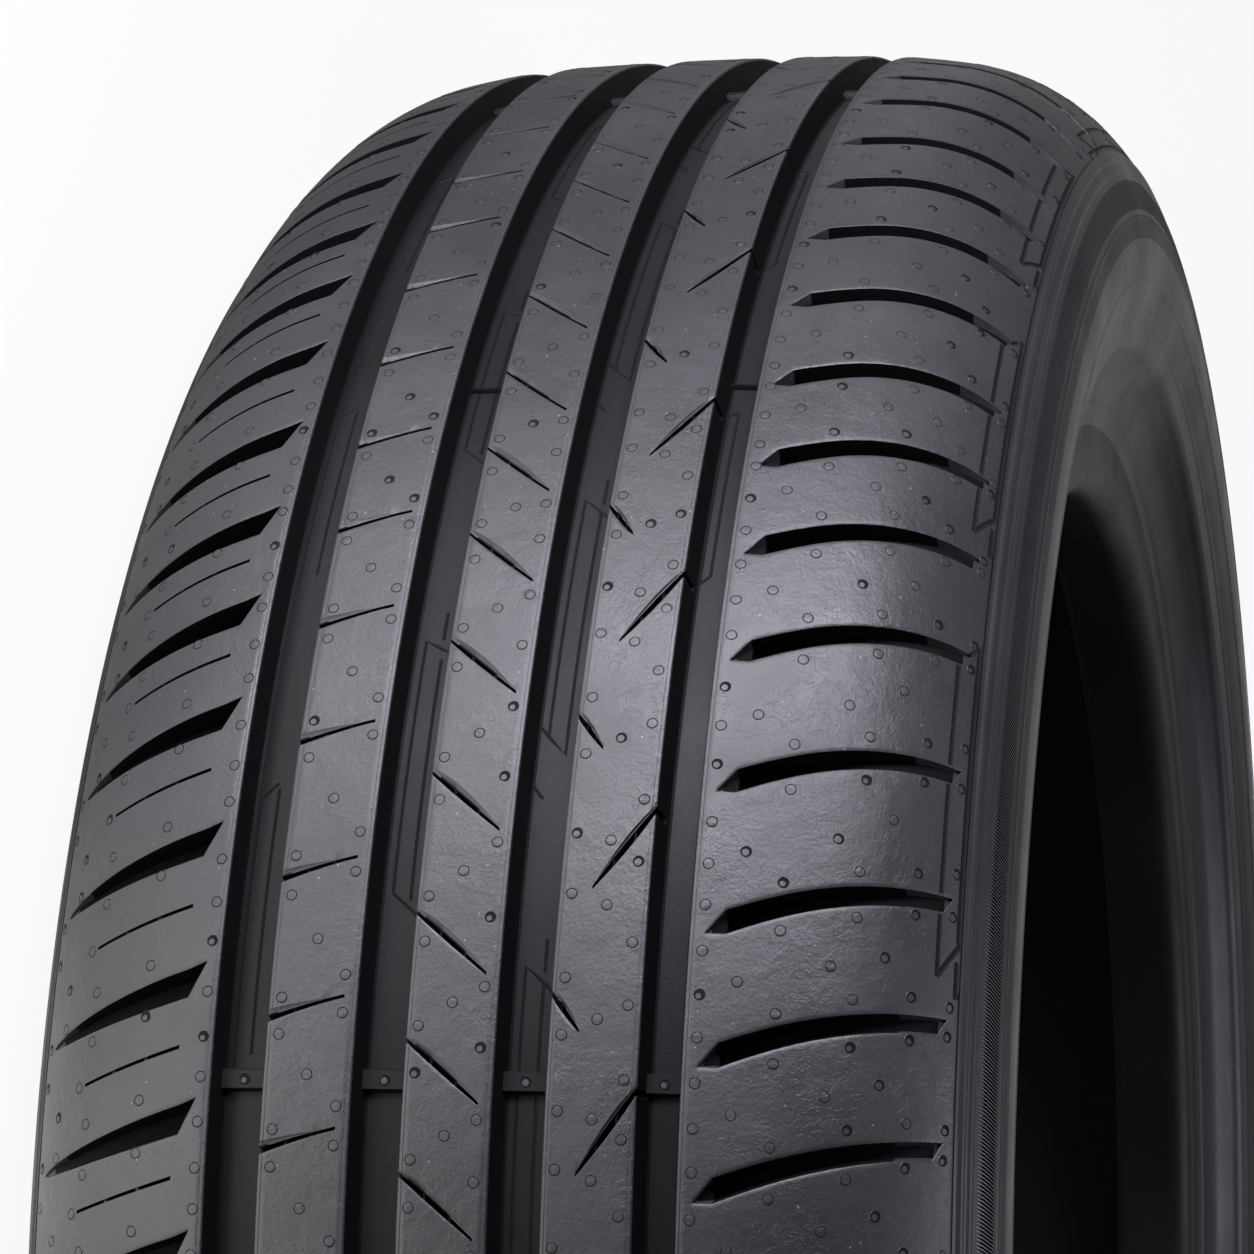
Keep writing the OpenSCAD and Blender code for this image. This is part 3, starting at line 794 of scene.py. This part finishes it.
def cross_columns(z, inside, offsets, low, high, slope, steep, deep):
    """Shift and depth of a cross groove's ten columns: tread, lip, sloping lower wall, floor, steep upper
    wall, lip and tread. low and high are its edges, and slope and steep the widths of its walls."""
    lip = np.where(inside, LIP_DEPTH, 0)
    zero = np.zeros_like(z)
    at = [zero + offsets[0], low - 0.9, low - 0.3, low, low + slope,
          high - steep, high, high + 0.3, high + 0.9, zero + offsets[-1]]
    cut = [zero, zero, 0.2 * lip, lip, deep, deep, lip, 0.2 * lip, zero, zero]
    return np.stack(at) - offsets[:, None], np.stack(cut)


# Offsets of a near cross groove's columns, where it ends, its inner tip's gap from the straight groove, and
# the tip's length.
NEAR_OFFSETS = np.array([-5.0, -3.0, -2.5, -2.4, -0.9, 1.7, 2.4, 2.5, 3.0, 5.0])
NEAR_END, NEAR_TIP_GAP, NEAR_TIP = 93.5, 3.0, 3.8


def near_groove(z, tread, tip):
    """Shift and depth of a near cross groove's columns, measured from its middle line.

    It is widest near its slanted inner tip. Its lower wall slopes and its upper wall is steep. The floor
    rises from the inner depth to a shallow, slanted outer end.
    """
    open_tip = np.clip((z - tip) / NEAR_TIP, 0, 1)
    open_end = np.clip((NEAR_END - z) / 1.6, 0, 1)
    half = (2.4 - 0.017 * (z - BENDS_FROM)) * open_tip
    middle = -0.9 * (1 - open_tip)
    low, high = middle - half, middle + half
    low = high - (high - low) * open_end
    inside = (z >= tip) & (z <= NEAR_END)
    full = tread.cross_depth
    deep = np.interp(z, [tip, tip + NEAR_TIP, tip + 4.0, 60, 72, 83, NEAR_END],
                     [0.9, 2.6, full, full, 0.8 * full, 0.5 * full, tread.cross_end_depth])
    deep = np.where(inside, deep, 0)
    slope = np.minimum(0.42 * (high - low), 0.32 * deep + 0.1)
    steep = np.minimum(0.12 * (high - low), 0.5)
    return cross_columns(z, inside, NEAR_OFFSETS, low, high, slope, steep, deep)


# The same for a far cross groove, and where the sipes beside it start and end.
FAR_OFFSETS = np.array([-5.5, -3.6, -3.1, -3.0, -2.0, 1.4, 3.0, 3.1, 3.6, 5.5])
FAR_END, FAR_TIP_GAP, FAR_TIP = 92.0, 2.8, 3.6
FAR_SIPE_START, FAR_SIPE_END = -58.6, -81.0


def far_groove(z, tread, tip):
    """Shift and depth of a far cross groove's columns, measured from its middle line.

    It has a slanted inner end, and closes to a point outside. The upper wall is steep, and the lower slopes.
    """
    a = np.abs(z)
    open_tip = np.clip((a - tip) / FAR_TIP, 0, 1)
    past = np.clip(a - BENDS_FROM, 0, None) / (FAR_END - BENDS_FROM)
    half = 3.0 * np.sqrt(np.clip(1 - past**1.4, 0, 1)) * open_tip
    middle = 3.4 * (1 - open_tip)
    low, high = middle - half, middle + half
    inside = (a >= tip) & (a <= FAR_END)
    full = tread.cross_depth
    deep = np.interp(a, [tip, tip + 1, 62, 72, 83, FAR_END],
                     [4.5, full, full, 0.8 * full, 0.5 * full, 0.5 * tread.cross_end_depth])
    deep = np.where(inside, deep, 0)
    slope = np.minimum(0.34 * (high - low), 0.3 * deep + 0.1)
    steep = np.minimum(0.16 * (high - low), 0.55)
    return cross_columns(z, inside, FAR_OFFSETS, low, high, slope, steep, deep)


class TYRE_OT_shoulders(bpy.types.Operator):
    """Add the two shoulders with their cross grooves and sipes"""
    bl_idname = "tyre.shoulders"
    bl_label = "Shoulders"

    def execute(self, context):
        casing, tread, _ = sizes()
        s = Section(casing)
        left, right = rib_edges(tread)

        tip = right[3] + NEAR_TIP_GAP
        specials = [tip + np.array([-0.05, 0.05, 1.0, 2.2, 3.75, 4.05]),
                    NEAR_END - np.array([1.6, 0.8, 0.05, -0.05])]
        z, base = shoulder_rows(right[3], 1, tread, np.concatenate(specials))
        middle = 5 + 0.349 * (z - BENDS_FROM) - 0.0033 * (z - BENDS_FROM)**2
        grooves = (placed(tread, NEAR_CROSS), NEAR_OFFSETS, *near_groove(z, tread, tip))
        tread_ring("shoulder_near", z, base, middle, [grooves], [5], s, tread, SHOULDER_CUT)

        tip = -left[0] + FAR_TIP_GAP
        specials = [tip + np.array([-0.05, 0.05, 1.0, FAR_TIP]), FAR_END + np.array([0, 0.2]),
                    -FAR_SIPE_START - np.array([0.1, 0]), -sipe_rows(FAR_SIPE_START, FAR_SIPE_END)]
        z, base = shoulder_rows(left[0], -1, tread, np.concatenate(specials))
        middle = -5.6 - 0.305 * (np.abs(z) - BENDS_FROM)
        grooves = (placed(tread, FAR_CROSS), FAR_OFFSETS, *far_groove(z, tread, tip))
        moved, cut = sipe_family(z, FAR_SIPE_START, FAR_SIPE_END, tread, *FAR_LOOK)
        cut = np.where((z <= FAR_SIPE_START) & (base < 1), cut, 0)
        sipe_shift = middle[np.argmin(np.abs(z - FAR_SIPE_START))] / s.outer_r
        sipes = (placed(tread, FAR_SIPE) - sipe_shift, SIPE_OFFSETS, moved, cut)
        tread_ring("shoulder_far", z, base, middle, [grooves, sipes], [1, 1], s, tread, SHOULDER_CUT)
        return {"FINISHED"}


def across_grooves(s, tread, along, height, first_at, reach, chosen=slice(None)):
    """Grids of points over bars across the chosen straight grooves, one bar for each set of wear bars.

    along and height are a bar's section round the tyre and above the groove's floor. first_at is the angle
    of the first bar, and reach is how far each goes past the groove's edges.
    """
    grids = []
    for at, width in list(zip(tread.groove_at, tread.groove_w))[chosen]:
        z = at + (width / 2 + reach) * np.linspace(-1, 1, 7)
        r = s.tread_r(z) - tread.groove_depth + height[:, None]
        for k in range(tread.wear_sets):
            a = first_at + 2 * np.pi * k / tread.wear_sets + along[:, None] / s.outer_r
            grids.append(polar(a, r, z))
    return grids


# Brings the top of a wear bar in towards the axis, as the bar's hidden underside.
BAR_FOOT = np.array([0.993, 0.993, 1])


class TYRE_OT_wear_bars(bpy.types.Operator):
    """Add the wear bars across the straight grooves"""
    bl_idname = "tyre.wear_bars"
    bl_label = "Wear bars"

    def execute(self, context):
        casing, tread, _ = sizes()
        half, tall = tread.wear_bar_l / 2, tread.wear_bar_h
        along = np.array([-half - 0.5, -half - 0.12, -half + 0.15, half - 0.15, half + 0.12, half + 0.5])
        height = np.array([-0.6, tall - 0.35, tall, tall, tall - 0.35, -0.6])
        tops = across_grooves(Section(casing), tread, along, height, tread.wear_bar_at, 0.3)
        # The bars sit in the grooves and take the groove rubber's painted shade.
        put_grids("wear_bars", [np.concatenate([top, top[::-1] * BAR_FOOT]) for top in tops],
                  [material("groove_rubber")], closed=True, sharp=50)
        return {"FINISHED"}


# Marks


def surface(s, angle, z, depth=0.0):
    """Point on the tread lowered by depth, with the directions round the tyre, across it and outwards."""
    step = 0.05
    r, further = s.tread_r(z) - depth, s.tread_r(z + step) - depth
    radial = polar(angle, 1.0, 0.0)
    around = np.stack([-np.cos(angle), np.sin(angle), np.zeros_like(angle)], -1)
    across = radial * ((further - r) / step)[..., None] + np.array([0, 0, 1.0])
    across /= np.linalg.norm(across, axis=-1)[..., None]
    outward = np.cross(across, around)
    outward *= np.sign(np.sum(outward * radial, -1))[..., None]
    return polar(angle, r, z), around, across, outward


VENT_SIDES = 12
# A vent mark's circles are its foot, the rim's top, the gap and the disc's edge. In a cup, the disc is this
# much smaller and this much to one side.
CUP_SMALLER, CUP_ASIDE = 0.42, 0.36


def vents(name, s, angle, z, marks, depth=0.0, cups=0.0, seed=3):
    """Round vent marks, each a low rim, a fine gap and a flush disc: circles of falling radius at set
    heights, round a middle point. The rim's inner slope and the gap are coloured dark as painted shade.

    cups is the share of marks whose disc is smaller and sits to one side, as in a tilted hole, so that its
    gap, with its painted shade, becomes a dark crescent.
    """
    angle, z = np.ravel(angle), np.ravel(z)
    place, around, across, outward = surface(s, angle, z, depth)
    rng = np.random.default_rng(seed)
    r = marks.vent_d / 2
    cup = (rng.random(len(angle)) < cups) * rng.uniform(0.5, 1, len(angle))
    radii = np.array([r + 0.1, r, r - 0.05, r - 0.2])[:, None]
    radii = radii - np.array([0, 0, 0, CUP_SMALLER])[:, None] * cup
    heights = np.array([-0.05, marks.vent_h, 0.02, 0.7 * marks.vent_h])
    aside = np.array([0, 0, 0, -CUP_ASIDE])[:, None] * cup
    t = np.linspace(0, 2 * np.pi, VENT_SIDES, endpoint=False)
    circle = around[:, None, :] * np.cos(t)[None, :, None] + across[:, None, :] * np.sin(t)[None, :, None]
    aim = (0.8 * around + 0.6 * across)[:, None, :]
    tilt = rng.normal(0, 0.03, (len(angle), 1))
    rings = []
    for k in range(4):
        up = heights[k] + (tilt * np.cos(t) * radii[k][:, None] if k > 2 else 0 * t)
        rings.append(place[:, None, :] + circle * radii[k][:, None, None] + aim * aside[k][:, None, None]
                     + outward[:, None, :] * np.broadcast_to(up, (len(angle), VENT_SIDES))[..., None])
    centre = place + aim[:, 0] * aside[3][:, None] + outward * heights[3]
    points = np.concatenate([np.stack(rings, 1).reshape(len(angle), -1, 3), centre[:, None, :]], 1)
    each = 4 * VENT_SIDES + 1
    k, j = np.meshgrid(np.arange(3), np.arange(VENT_SIDES), indexing="ij")
    jn = (j + 1) % VENT_SIDES
    quads = np.stack([k * VENT_SIDES + j, k * VENT_SIDES + jn, (k + 1) * VENT_SIDES + jn,
                      (k + 1) * VENT_SIDES + j], -1).reshape(-1, 4)
    j = np.arange(VENT_SIDES)
    caps = np.stack([3 * VENT_SIDES + j, 3 * VENT_SIDES + (j + 1) % VENT_SIDES,
                     np.full(VENT_SIDES, each - 1)], -1)
    first = (np.arange(len(angle)) * each)[:, None, None]
    # The rim's inner slope and the gap up to the disc's edge take the gap rubber's painted shade; the foot
    # and the disc take the tread rubber.
    slots = np.concatenate([np.tile(np.repeat([0, 1, 1], VENT_SIDES), len(angle)),
                            np.zeros(VENT_SIDES * len(angle))])
    faces = [(quads[None] + first).reshape(-1, 4), (caps[None] + first).reshape(-1, 3)]
    return settle(put_mesh(name, points, faces, [material("tread_rubber"), material("vent_gap")],
                           sharp=40, face_slots=slots))


# Places of the vent marks in a pitch: degrees past its start, a share of its length, and z.
NEAR_VENTS = [(2.46, 0.12, 48.1), (4.02, 0.12, 48.1), (5.63, 0.12, 48.1), (4.54, 0.12, 55.3),
              (1.62, 0.12, 63.0), (3.44, 0.12, 63.0), (5.36, 0.12, 72.8), (2.44, 0.12, 77.1),
              (4.22, 0.12, 77.1)]
NEAR_EDGE_VENTS = [(1.75, 0.0, 82.5), (3.02, 0.12, 87.4), (4.69, 0.12, 87.4), (4.05, 0.0, 93.6),
                   (0.4, 0.0, 93.8)]
FAR_VENTS = [(-0.67, 0.43, -53.3), (0.82, 0.43, -53.3), (2.5, 0.43, -53.3), (-1.51, 0.43, -66.8),
             (-3.46, 0.43, -66.8), (-2.3, 0.43, -80.0), (-4.22, 0.43, -80.0), (-2.94, 0.86, -82.6)]
FAR_EDGE_VENTS = [(-1.9, 0.43, -88.5), (-3.5, 0.43, -88.5), (-0.6, 0.43, -93.6), (1.0, 0.43, -93.6)]
RIB_VENTS = [(0.0, 0.895, -37.1), (0.0, 0.615, -37.1), (0.0, 0.31, -30.6), (0.0, 0.78, -24.1),
             (0.35, 0.0, -24.1), (1.6, 0.0, -8.2), (3.3, 0.0, -8.2), (3.3, 0.18, -1.5), (-0.07, 0.0, 4.9),
             (2.53, 0.0, 4.9), (0.3, 0.0, 21.1), (0.0, 0.63, 21.1), (0.0, 0.3, 34.1), (0.0, 0.86, 34.1)]
# On rib 4, in every other pitch.
EVEN_VENTS = [(0.03, 0.0, 28.1), (0.0, 0.75, 28.1)]
ODD_VENTS = [(0.0, 0.555, 28.4)]

# Vent pieces on the shoulders: places, share of cups, and seed.
SHOULDER_VENTS = {"vents_near": (NEAR_VENTS, 0.15, 3), "vents_near_edge": (NEAR_EDGE_VENTS, 0.6, 6),
                  "vents_far": (FAR_VENTS, 0.12, 4), "vents_far_edge": (FAR_EDGE_VENTS, 0.85, 7)}


def spread(tread, places, first=0, every=1):
    """Angle and z of all the marks whose places in a pitch are given."""
    angles = [placed(tread, (shift, share))[first::every] for shift, share, _ in places]
    z = [np.full(len(at), place[2]) for at, place in zip(angles, places)]
    return np.concatenate(angles), np.concatenate(z)


class TYRE_OT_vents(bpy.types.Operator):
    """Add the round marks that the mould's vents leave"""
    bl_idname = "tyre.vents"
    bl_label = "Vents"

    def execute(self, context):
        casing, tread, marks = sizes()
        s = Section(casing)
        for name, (places, cups, seed) in SHOULDER_VENTS.items():
            vents(name, s, *spread(tread, places), marks, cups=cups, seed=seed)
        parts = [spread(tread, RIB_VENTS), spread(tread, EVEN_VENTS, 0, 2), spread(tread, ODD_VENTS, 1, 2)]
        angle, z = (np.concatenate(values) for values in zip(*parts))
        vents("vents_ribs", s, angle, z, marks, cups=0.15, seed=5)
        around = tread.wear_bar_at + 2 * np.pi * np.arange(tread.wear_sets) / tread.wear_sets
        angle, z = np.meshgrid(around, tread.groove_at)
        vents("vents_wear_bars", s, angle, z, marks, depth=tread.groove_depth - tread.wear_bar_h - 0.02,
              cups=0.7)
        return {"FINISHED"}


# Longest step along a fine line: degrees round the tyre, and distance across it. Then a line's section, as
# shares of its width and heights.
LINE_STEP = (1.2, 3)
LINE_PROFILE = ((-0.5, 0.03), (0.05, 0.03), (0.3, 0.13), (0.5, -0.03))


def line_points(path, width, s, depth):
    """Four rows of points along a fine line: a flush strip coloured dark as the painted shade of a cut, and
    beside it a low ridge.

    path has (angle, z) rows. It is filled in so that it bends with the tread.
    """
    path = np.asarray(path, float)
    fine = [path[:1]]
    for a, b in zip(path[:-1], path[1:]):
        turn, across = abs(b - a)
        count = int(np.ceil(max(turn / np.radians(LINE_STEP[0]), across / LINE_STEP[1], 1)))
        fine.append(a + (b - a) * (np.arange(1, count + 1) / count)[:, None])
    path = np.concatenate(fine)
    place, around, across, outward = surface(s, path[:, 0], path[:, 1], depth)
    along = np.gradient(place, axis=0)
    along /= np.linalg.norm(along, axis=1)[:, None]
    aside = np.cross(outward, along)
    aside *= np.where(aside[:, 2:] + 0.2 * np.sum(aside * around, 1)[:, None] < 0, -1, 1)
    rows = [place + aside * width * share + outward * up for share, up in LINE_PROFILE]
    return np.stack(rows, 1)


# Distance of the shoulder's dashed line from the mid-plane, and how much wider the shoulder's lines are than
# a groove's.
DASHES_Z = 91.5
SHOULDER_LINE = 1.7
# How many degrees past its tip a cross groove cuts the dashed line, and half the gap that it leaves there.
GAP_AT, GAP_HALF = 2.31, 0.42


class TYRE_OT_lines(bpy.types.Operator):
    """Add the fine line marks on the groove floors and shoulders, and the mould's seams"""
    bl_idname = "tyre.lines"
    bl_label = "Lines"

    def execute(self, context):
        casing, tread, marks = sizes()
        s = Section(casing)
        starts, _ = pitches(tread)
        floor = tread.groove_depth
        sipe_2, sipe_3 = placed(tread, RIB_2_SIPE), placed(tread, RIB_3_SIPE)
        short, long = placed(tread, RIB_4_SHORT), placed(tread, RIB_4_LONG)
        near_tips = placed(tread, NEAR_CROSS)
        paths = []

        def add(depth, *rows):
            paths.append(([(base + np.radians(shift), z) for base, shift, z in rows], depth))

        for k in range(3, len(starts) - 3, 4):
            low, high = sipe_3[k], sipe_3[k + 2]
            add(floor, (low, 1.16, -17.9), (high, 0.76, -17.9), (high, 0.15, -11.6))
            add(floor, (low, 1.16, -17.9), (low, 0.15, -11.6))
            add(floor, (low, 0.86, -14.1), (high, -0.07, -14.1))
            add(floor, (high, 0.8, -14.3), (high, 2.06, -14.3))
            low, high = short[k - 3], short[k - 1]
            add(floor, (low, 0.13, 9.2), (low, -1.03, 15.0), (high, 0.75, 15.0))
            add(floor, (low, -0.26, 11.1), (high, 1.35, 11.1), (high, 0.54, 16.2), (high, 0.2, 17.7))
            add(floor, (high, 1.1, 15.1), (high, 2.4, 15.1))
            add(floor, (low, -2.3, 9.0), (low, -2.85, 11.4))
            low, high = long[k + 3], long[k + 5]
            add(floor, (low, 0.1, 37.6), (low, 0.39, 38.3), (high, 0.3, 38.3), (high, 0.58, 40.5))
            add(floor, (low, 0.39, 38.3), (low, 0.8, 40.4), (high, 0.52, 40.4))
            low, high = sipe_2[k - 1], sipe_2[k + 1]
            add(floor, (low, -1.08, -45.0), (high, -1.3, -45.0))
            add(floor, (high, -1.07, -45.3), (high, -1.65, -48.5), (low, -1.6, -48.5))
            low, high = starts[k], starts[k + 3]
            add(0.0, (low, 1.5, DASHES_Z), (low, 3.0, 95.0))
            add(0.0, (low, 3.0, 94.7), (high, 0.48, 94.7), (high, -0.14, 93.3))
            add(0.0, (low, 2.3, 94.6), (low, 0.8, 94.6), (low, 0.95, 95.2))
            stops = [low + np.radians(1.5)]
            for gap in near_tips[k:k + 4] + np.radians(GAP_AT):
                if low + np.radians(2) < gap < high:
                    stops += [gap - np.radians(GAP_HALF), gap + np.radians(GAP_HALF)]
            stops.append(high - np.radians(1.3))
            for a, b in zip(stops[::2], stops[1::2]):
                if b > a:
                    paths.append(([(a, DASHES_Z), (b, DASHES_Z)], 0.0))

        grids = [line_points(path, marks.line_w * (1 if depth else SHOULDER_LINE), s, depth)
                 for path, depth in paths]
        # Each line's flush strip takes the gap rubber's painted shade, and its ridge the groove rubber's
        # painted shade.
        put_grids("lines", grids, [material("vent_gap"), material("groove_rubber")],
                  face_slots=np.tile([0, 1, 1], sum(len(grid) - 1 for grid in grids)))

        along = np.array([-0.5, -0.28, 0.0, 0.28, 0.5])
        height = np.array([-0.3, 0.75, 1.0, 0.75, -0.3]) * marks.seam_h
        seams = across_grooves(s, tread, along, height, tread.seam_at, -0.1, slice(1, None, 2))
        # The seams sit in the grooves and take the groove rubber's painted shade.
        put_grids("mould_seams", seams, [material("groove_rubber")], sharp=50)
        return {"FINISHED"}


# Edges of a serrated band by distance from the mid-plane, how far its ribs slant round the tyre, and a rib's
# corners in shares of the pitch: both ends of its crest, then of the floor beside it.
SERRATED_Z = (98.8, 101.55)
SERRATED_ROWS = 5
RIB_SLANT = 2.6
RIB_PROFILE = np.array([0.0, 0.34, 0.42, 0.92])


class TYRE_OT_serrations(bpy.types.Operator):
    """Add the finely serrated bands on both shoulders"""
    bl_idname = "tyre.serrations"
    bl_label = "Serrations"

    def execute(self, context):
        casing, _, marks = sizes()
        s = Section(casing)
        phi = np.linspace(s.shoulder_angle(SERRATED_Z[0]), s.shoulder_angle(SERRATED_Z[1]), SERRATED_ROWS)
        base_z = s.shoulder_centre[0] + s.shoulder_r * np.cos(phi)
        base_r = s.shoulder_centre[1] + s.shoulder_r * np.sin(phi)
        count = int(2 * np.pi * base_r.mean() / marks.rib_pitch)
        a = (np.arange(count)[:, None] + RIB_PROFILE).reshape(-1, 1) * 2 * np.pi / count
        a = a - np.linspace(0, RIB_SLANT, SERRATED_ROWS)[None] / base_r.mean()
        crest = np.tile([marks.rib_h, marks.rib_h, 0.0, 0.0], count)[:, None]
        is_end = np.isin(np.arange(SERRATED_ROWS), (0, SERRATED_ROWS - 1))
        lift = np.where(is_end, -0.1, crest + 0.03)
        # Painted light: each rib's crest takes a paler, glossier rubber as a painted highlight, and its
        # flanks and the floor beside it take the cut rubber's painted shade.
        slots = np.tile(np.repeat([0, 1, 1, 1], SERRATED_ROWS - 1), count)
        for name, side in (("serrations_near", 1), ("serrations_far", -1)):
            points = polar(a, base_r + lift * np.sin(phi), side * (base_z + lift * np.cos(phi)))
            put_grids(name, [points[:, ::side]], [material("rib_rubber"), material("cut_rubber")],
                      closed=True, sharp=20, face_slots=slots)
        return {"FINISHED"}


# Stage


LAMP_COLOUR = (0.90, 0.885, 1.0)
# Middle of the bright band on the tread, which both key lamps face.
BRIGHT_BAND = (-0.134, -0.286, -0.02)
# Each lamp's name, place and target in metres, power in watts, and size up and down and across.
LAMPS = (
    ("key", (-0.46, -0.60, 0.0), BRIGHT_BAND, 2.2, 0.2, 0.24),
    ("key_shoulder", (-0.49, -0.56, 0.26), BRIGHT_BAND, 2.2, 0.24, 0.12),
    ("back", (0.3, 1.4, 0.0), (0.0, 0.3, 0.0), 12, 0.19, 1.4),
    ("side", (1.4, 0.2, 0.0), (0.3, 0.0, 0.0), 3, 0.19, 1.2),
    ("left", (-1.4, 0.5, 0.0), (-0.3, 0.1, 0.0), 0.6, 0.19, 1.0),
    ("top", (0.3, 0.3, 2.2), (0.0, 0.0, 0.0), 16, 1.2, 1.2),
)
# What the floor shows in reflections: an even glow, and bright patches, each x, y, inner radius, outer
# radius and strength. They stand in for a studio's low lamps and bright walls.
FLOOR_GLOW = 0.25
FLOOR_PATCHES = ((-0.27, -0.48, 0.08, 0.28, 2.4), (0.0, -0.34, 0.05, 0.16, 0.3),
                 (-0.01, -0.40, 0.05, 0.16, 2.1))
# Share of glow in what is seen of the floor. The rest is paint, which takes shadows.
FLOOR_WHITE = 0.93
# The world's even light, and its two glows: axis, where along it the glow starts and is full, and strength.
WORLD_FILL = 0.02
WORLD_GLOWS = (("Y", 0.7, 1.0, 0.6), ("X", -0.5, -1.0, 0.39))


def lamp(name, place, target, power, tall, wide):
    """A soft area lamp at a place, turned towards a target, and unseen by the camera."""
    light = bpy.data.lights.new(name, "AREA")
    light.shape = "RECTANGLE"
    light.energy, light.size, light.size_y = power, tall, wide
    light.color = LAMP_COLOUR
    holder = bpy.data.objects.new(name, light)
    bpy.context.scene.collection.objects.link(holder)
    back = np.array(place, float) - np.array(target, float)
    back /= np.linalg.norm(back)
    side = np.cross((0.0, 1.0, 0.0) if abs(back[1]) < 0.9 else (1.0, 0.0, 0.0), back)
    side /= np.linalg.norm(side)
    turn = np.eye(4)
    turn[:3, 0], turn[:3, 1], turn[:3, 2], turn[:3, 3] = side, np.cross(back, side), back, place
    holder.matrix_world = Matrix(turn.tolist())
    holder.visible_camera = False


class TYRE_OT_stage(bpy.types.Operator):
    """Add the floor, the lamps, the world and the camera"""
    bl_idname = "tyre.stage"
    bl_label = "Stage"

    def execute(self, context):
        scene = bpy.context.scene
        stage = scene.tyre_stage
        scene.view_settings.view_transform = "Standard"

        n = Nodes(bpy.data.materials.new("pale_floor"))
        light_path = n.add("ShaderNodeLightPath")
        place = n.add("ShaderNodeTexCoord").outputs["Object"]
        glow = FLOOR_GLOW
        for x, y, near, far, strength in FLOOR_PATCHES:
            away = n.add("ShaderNodeVectorMath", {"operation": "DISTANCE"}, i0=place,
                         i1=(x, y, CAD_BOX[0][2])).outputs["Value"]
            glow = n.maths("ADD", n.ramp(away, far, near, 0.0, strength), glow)
        reflected = n.maths("MULTIPLY", light_path.outputs["Is Glossy Ray"], glow)
        bright = n.maths("ADD", light_path.outputs["Is Camera Ray"], reflected)
        seen = n.maths("ADD", light_path.outputs["Is Camera Ray"], light_path.outputs["Is Glossy Ray"])
        paint = n.add("ShaderNodeBsdfDiffuse", Color=opaque(stage.floor_colour)).outputs[0]
        white = n.add("ShaderNodeEmission", Color=(1, 1, 1, 1), Strength=bright).outputs[0]
        blend = n.add("ShaderNodeMixShader", Fac=n.maths("MULTIPLY", seen, FLOOR_WHITE), i1=paint, i2=white)
        floor_material = n.finish(blend.outputs[0])
        half, level = stage.floor_w / 2 / MM, CAD_BOX[0][2] / MM
        t = np.linspace(-1, 1, 9) * half
        x, y = np.meshgrid(t, t, indexing="ij")
        points = np.stack([x, y, np.full_like(x, level)], -1)
        floor = put_mesh("floor", points, grid_faces(9, 9, False, False)[:, ::-1], [floor_material])

        scene.world = bpy.data.worlds.new("studio")
        n = Nodes(scene.world)
        way = n.add("ShaderNodeSeparateXYZ", Vector=n.add("ShaderNodeTexCoord").outputs["Generated"]).outputs
        glow = n.maths("ADD", *(n.ramp(way[axis], start, full, 0.0, strength)
                                for axis, start, full, strength in WORLD_GLOWS))
        fill = n.add("ShaderNodeBackground", Color=(1, 1, 1, 1),
                     Strength=n.maths("ADD", glow, WORLD_FILL)).outputs[0]
        back = n.add("ShaderNodeBackground", Color=(1, 1, 1, 1), Strength=1.0).outputs[0]
        seen = n.add("ShaderNodeLightPath").outputs["Is Camera Ray"]
        blend = n.add("ShaderNodeMixShader", Fac=seen, i1=fill, i2=back)
        n.finish(blend.outputs[0], "ShaderNodeOutputWorld")

        for row in LAMPS:
            lamp(*row)

        camera = bpy.data.objects.new("camera", bpy.data.cameras.new("camera"))
        camera.location = stage.camera_at
        camera.rotation_euler = stage.camera_turn
        camera.data.sensor_fit = "HORIZONTAL"
        camera.data.sensor_width = 36
        camera.data.lens = stage.lens
        camera.data.clip_end = 50
        scene.collection.objects.link(camera)
        scene.camera = camera
        return {"FINISHED"}


class TYRE_PT_panel(bpy.types.Panel):
    """Tyre"""
    bl_idname = "TYRE_PT_panel"
    bl_label = "Tyre"
    bl_space_type = "VIEW_3D"
    bl_region_type = "UI"
    bl_category = "Tyre"

    def draw(self, context):
        for group in GROUPS:
            box = self.layout.box()
            box.label(text=group.replace("tyre_", "").replace("_", " ").capitalize())
            owner = getattr(context.scene, group)
            for prop in owner.bl_rna.properties:
                if prop.identifier not in ("rna_type", "name"):
                    box.prop(owner, prop.identifier)
        for step in OPERATORS:
            self.layout.operator(step.bl_idname)


GROUPS = {"tyre_casing": CasingSizes, "tyre_tread": TreadSizes, "tyre_marks": MarkSizes,
          "tyre_finishes": TyreFinishes, "tyre_stage": StageSizes}
OPERATORS = (TYRE_OT_casing, TYRE_OT_ribs, TYRE_OT_shoulders, TYRE_OT_wear_bars, TYRE_OT_vents,
             TYRE_OT_lines, TYRE_OT_serrations, TYRE_OT_stage)


def register():
    for cls in (*GROUPS.values(), *OPERATORS, TYRE_PT_panel):
        bpy.utils.register_class(cls)
    for name, group in GROUPS.items():
        setattr(bpy.types.Scene, name, PointerProperty(type=group))


def unregister():
    for name in GROUPS:
        delattr(bpy.types.Scene, name)
    for cls in reversed((*GROUPS.values(), *OPERATORS, TYRE_PT_panel)):
        bpy.utils.unregister_class(cls)


def main():
    """Builds every piece and the stage."""
    register()
    for step in (bpy.ops.tyre.casing, bpy.ops.tyre.ribs, bpy.ops.tyre.shoulders, bpy.ops.tyre.wear_bars,
                 bpy.ops.tyre.vents, bpy.ops.tyre.lines, bpy.ops.tyre.serrations, bpy.ops.tyre.stage):
        step()


if __name__ == "__main__":
    main()
